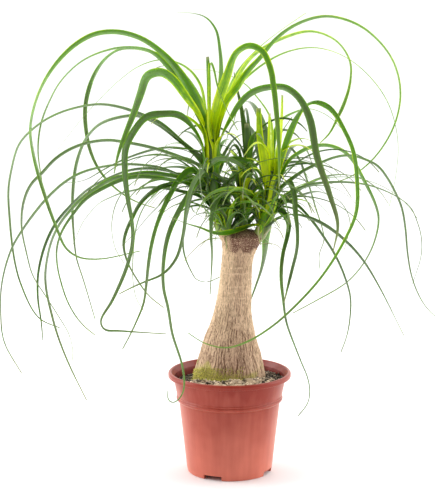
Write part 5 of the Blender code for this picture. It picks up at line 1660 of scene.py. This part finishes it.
def leaf_skin(stem, leaf, order, settings):
    """A leaf's closed skin: a rolled strip along its line, on both faces.

    Across the strip a point lies at R sin(a) along the width and R (1 - cos(a)) towards the upper
    side, for a between plus and minus the roll's half angle. At its base the roll's radius is the
    stem's own, so that it hugs the stem; further out the strip opens to a shallow channel.
    """
    course, width, twist, tone, blunt, shown, withered = leaf
    rng = np.random.default_rng(LEAF_SEED + order)
    heights, radii = stem_rows(stem)[:, 2:].T
    line, travelled = even_line(sheathed_course(stem, course))
    along = travelled / travelled[-1]
    sides, ups, across = blade_frame(line)
    twist = math.copysign(twist, across[1])
    attach = ATTACH_TWIST * twist + ATTACH_SPREAD * math.sin(math.radians(GOLDEN_ANGLE) * order)
    settled = twist_along(twist, along)
    waver = WAVER * np.sin(travelled * rng.uniform(*WAVER_RATES) + rng.uniform(*WAVER_STARTS)) * along
    broad = 1.0 + BASE_BREADTH * fading(travelled, *BROAD_BASE)
    full_width = np.maximum(width * width_share(along, blunt) * broad, THREAD_WIDTH)
    if shown is not None:
        widths = (shown[0], *shown, THREAD_WIDTH * 1000)
        shown_width = np.interp(along, (0.0, *SHOWN_SHARES, 1.0), widths) / 1000
        near = fading(travelled, *NEAR_PART)
        full_width = np.maximum(full_width, shown_width) * (1.0 - near) + shown_width * near
        settled = shown_turn(line, sides, ups, settled, full_width, shown_width)
    turn = attach + (settled + waver - attach) * smooth_step(travelled, *TURNING)
    edges, crowns = rolled(sides, ups, turn)
    stem_radius = np.interp(line[:, 2], heights, radii)
    hug = stem_radius + LAYER_SLOPE * travelled + LAYER_STEP * (order % LAYER_COUNT) - LAYER_SINK
    spine = line - crowns * (hug * fading(travelled, *LETTING_GO))[:, None]
    sheath_half = min(SHEATH_HALF_ANGLE * hug[0], SHEATH_WIDTH_SHARE * width)
    flare = smooth_step(travelled, *FLARING)
    half = sheath_half * (1.0 - flare) + full_width / 2 * flare
    roll = sheath_half / hug[0] * (1.0 - flare) + settings.channel * flare
    stops = fine_stops(line)
    points = rolled_strip(*(rows[stops, None] for rows in (spine, edges, crowns, half, roll)),
                          settings.thickness)
    dry = leaf_dryness(rng, blunt, withered, along, travelled, line[:, 2] - heights[0])
    values = {"across": LOOP,
              "along": travelled[stops, None] / VEIN_LENGTH,
              "tone": leaf_tones(tone, along, travelled, order)[stops, None],
              "seed": rng.uniform(0, 1),
              "dry": dry[stops, None]}
    return skin(points, values)


def stem_skin(stem):
    """A stem's closed skin: circles of its radius along its axis, with faint leaf-scar rings."""
    rows = stem_rows(stem)
    heights = np.linspace(rows[0, 2] - STEM_SINK, rows[-1, 2], STEM_RINGS)
    smooth = hermite(rows[:, 2], rows[:, (0, 1, 3)], np.clip(heights, rows[0, 2], rows[-1, 2]))
    radii = smooth[:, 2] * (0.95 + 0.03 * np.sin(heights * STEM_SCARS))
    turns = np.linspace(0.0, math.tau, STEM_STEPS, endpoint=False)
    points = about_z(radii[:, None], turns, heights[:, None])
    points[..., :2] += smooth[:, None, :2]
    share = ((heights - heights[0]) / (heights[-1] - heights[0]))[:, None]
    values = {"across": 0.8 * np.sin(turns * 5),
              "along": share,
              "tone": 0.35 + 0.25 * share,
              "seed": 0.5,
              "dry": 0.75 * fading(share, 0.02, 0.22)}
    return skin(points, values)


def wild_leaves(shoot, first_order):
    """Leaves that fill the crown round a stem, drawn at random: short, long, young and withered ones.

    Each leaves the stem at a rise, bends down steadily and sways sideways with its length squared.
    """
    rng = np.random.default_rng(WILD_SEED + first_order)
    leaves = []
    for kind, count in zip(WILD_KINDS, shoot["wild"]):
        for _ in range(count):
            order = first_order + len(leaves)
            share, length, rise, width, tone = (rng.uniform(*kind[key])
                                                for key in ("share", "length", "rise", "width", "tone"))
            heading = math.radians(GOLDEN_ANGLE * order + rng.uniform(-WILD_HEADING, WILD_HEADING))
            course = arching_course(shoot["stem"], order, share, heading, length, rise)
            sideways = np.array((-math.sin(heading), math.cos(heading), 0.0))
            sway = sideways * rng.uniform(-WILD_SWAY, WILD_SWAY) * length
            course += np.linspace(0, 1, len(course))[:, None] ** 2 * sway
            twist = math.radians(rng.uniform(0, WILD_TWIST))
            leaves.append((course, width, twist, tone + shoot["shade"], False, None, kind["withered"]))
    return leaves


def make_shoot(node, shoot, material, settings):
    """One shoot: its stem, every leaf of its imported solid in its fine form, and wild leaves between."""
    leaves = packed_leaves(node, shoot)
    leaves += wild_leaves(shoot, len(leaves))
    shapes = [stem_skin(shoot["stem"])]
    shapes += [leaf_skin(shoot["stem"], leaf, order, settings) for order, leaf in enumerate(leaves)]
    leaves = joined(shoot["piece"], shapes, [material], sharp=LEAF_SHARP)
    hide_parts(node)
    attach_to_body(leaves, "root")
    return leaves


# Stage


def soft_light(name, place, target, size, power):
    """An area light that faces a target."""
    light = bpy.data.lights.new(name, "AREA")
    light.shape = "RECTANGLE"
    light.size, light.size_y = size
    light.energy = power
    thing = bpy.data.objects.new(name, light)
    bpy.context.scene.collection.objects.link(thing)
    thing.location = place
    thing.rotation_euler = (Vector(target) - Vector(place)).to_track_quat("-Z", "Y").to_euler()


def make_surround(settings):
    """A white world, dimmer towards the photographed side, as in a light tent."""
    world = bpy.data.worlds.new("white surround")
    world.use_nodes = True
    nodes = Nodes(world.node_tree)
    background = nodes.tree.nodes["Background"]
    nodes.feed(background.inputs["Color"], (1.0, 1.0, 1.0))
    backwards = nodes.node("SeparateXYZ", "Y", {"Vector": nodes.node("TexCoord", "Generated")})
    strength = nodes.ranged(backwards, *SURROUND_FADE, settings.front, settings.sky,
                            interpolation_type="SMOOTHSTEP")
    nodes.feed(background.inputs["Strength"], strength)
    bpy.context.scene.world = world


def make_camera():
    """The camera at the photograph's viewpoint, with its whole frame."""
    camera = bpy.data.cameras.new("photograph view")
    camera.sensor_fit = "VERTICAL"
    camera.sensor_height = SENSOR_HEIGHT
    camera.lens = VIEW_FOCAL_PIXELS * SENSOR_HEIGHT / PHOTO_HEIGHT
    camera.clip_end = CAMERA_REACH
    thing = bpy.data.objects.new("photograph view", camera)
    thing.location = VIEWPOINT
    thing.rotation_euler = (math.pi / 2 - VIEW_PITCH, 0.0, 0.0)
    bpy.context.scene.collection.objects.link(thing)
    bpy.context.scene.camera = thing


def make_stage(settings):
    """A plain white floor, soft lights, a white surround and the photograph's camera."""
    reach = np.geomspace(FLOOR_START, settings.floor_radius, FLOOR_RINGS)
    top = np.column_stack((reach, np.full(FLOOR_RINGS, -FLOOR_GAP)))
    rings = turned(np.vstack((top, top[::-1] - (0.0, FLOOR_DEPTH))), FLOOR_STEPS)
    finish = Finish("studio floor", Roughness=0.8, Base_Color=FLOOR_COLOUR)
    floor = joined("studio_floor", [skin(rings)], [finish.material], sharp=FLOOR_SHARP)
    make_surround(settings)
    for name, place, size, power in LIGHTS:
        soft_light(name, place, LIGHT_AIM, size, getattr(settings, power))
    scene = bpy.context.scene
    scene.view_settings.view_transform = "Standard"
    scene.view_settings.look = "None"
    make_camera()


# Operators


class PALM_OT_pot(bpy.types.Operator):
    """Mould the nursery pot in its plastic"""
    bl_idname = "palm.pot"
    bl_label = "Pot"

    def execute(self, context):
        make_pot(context.scene.palm_pot)
        return {"FINISHED"}


class PALM_OT_soil(bpy.types.Operator):
    """Fill the pot with potting soil"""
    bl_idname = "palm.soil"
    bl_label = "Soil"

    def execute(self, context):
        make_soil(context.scene.palm_soil)
        return {"FINISHED"}


class PALM_OT_chips(bpy.types.Operator):
    """Scatter bark chips and crumbs on the soil"""
    bl_idname = "palm.chips"
    bl_label = "Bark chips"

    def execute(self, context):
        make_chips(context.scene.palm_soil)
        return {"FINISHED"}


class PALM_OT_trunk(bpy.types.Operator):
    """Grow the swollen trunk with its bark"""
    bl_idname = "palm.trunk"
    bl_label = "Trunk"

    def execute(self, context):
        make_trunk(context.scene.palm_trunk)
        return {"FINISHED"}


class PALM_OT_moss(bpy.types.Operator):
    """Grow moss tufts at the trunk's foot"""
    bl_idname = "palm.moss"
    bl_label = "Moss"

    def execute(self, context):
        make_moss(context.scene.palm_trunk)
        return {"FINISHED"}


class PALM_OT_shoots(bpy.types.Operator):
    """Grow the leafy shoots along their packed leaves"""
    bl_idname = "palm.shoots"
    bl_label = "Leafy shoots"

    def execute(self, context):
        settings = context.scene.palm_leaf
        material = leaf_finish(settings)
        for node, shoot in SHOOTS.items():
            make_shoot(node, shoot, material, settings)
        return {"FINISHED"}


class PALM_OT_stage(bpy.types.Operator):
    """Set the floor, the lights and the camera"""
    bl_idname = "palm.stage"
    bl_label = "Stage"

    def execute(self, context):
        make_stage(context.scene.palm_stage)
        return {"FINISHED"}


class PALM_PT_pieces(bpy.types.Panel):
    """Lists the palm's pieces and the stage"""
    bl_label = "Ponytail Palm"
    bl_idname = "PALM_PT_pieces"
    bl_space_type = "VIEW_3D"
    bl_region_type = "UI"
    bl_category = "Palm"

    def draw(self, context):
        for operator in OPERATORS:
            self.layout.operator(operator.bl_idname)


OPERATORS = (PALM_OT_pot, PALM_OT_soil, PALM_OT_chips, PALM_OT_trunk, PALM_OT_moss, PALM_OT_shoots,
             PALM_OT_stage)
SETTINGS = {"palm_pot": PotSettings, "palm_soil": SoilSettings, "palm_trunk": TrunkSettings,
            "palm_leaf": LeafSettings, "palm_stage": StageSettings}


def register():
    for group in (*SETTINGS.values(), *OPERATORS, PALM_PT_pieces):
        bpy.utils.register_class(group)
    for name, group in SETTINGS.items():
        setattr(bpy.types.Scene, name, bpy.props.PointerProperty(type=group))


def unregister():
    for name in SETTINGS:
        delattr(bpy.types.Scene, name)
    for group in (PALM_PT_pieces, *reversed(OPERATORS), *SETTINGS.values()):
        bpy.utils.unregister_class(group)


def main():
    register()
    bpy.ops.palm.pot()
    bpy.ops.palm.soil()
    bpy.ops.palm.chips()
    bpy.ops.palm.trunk()
    bpy.ops.palm.moss()
    bpy.ops.palm.shoots()
    bpy.ops.palm.stage()


if __name__ == "__main__":
    main()
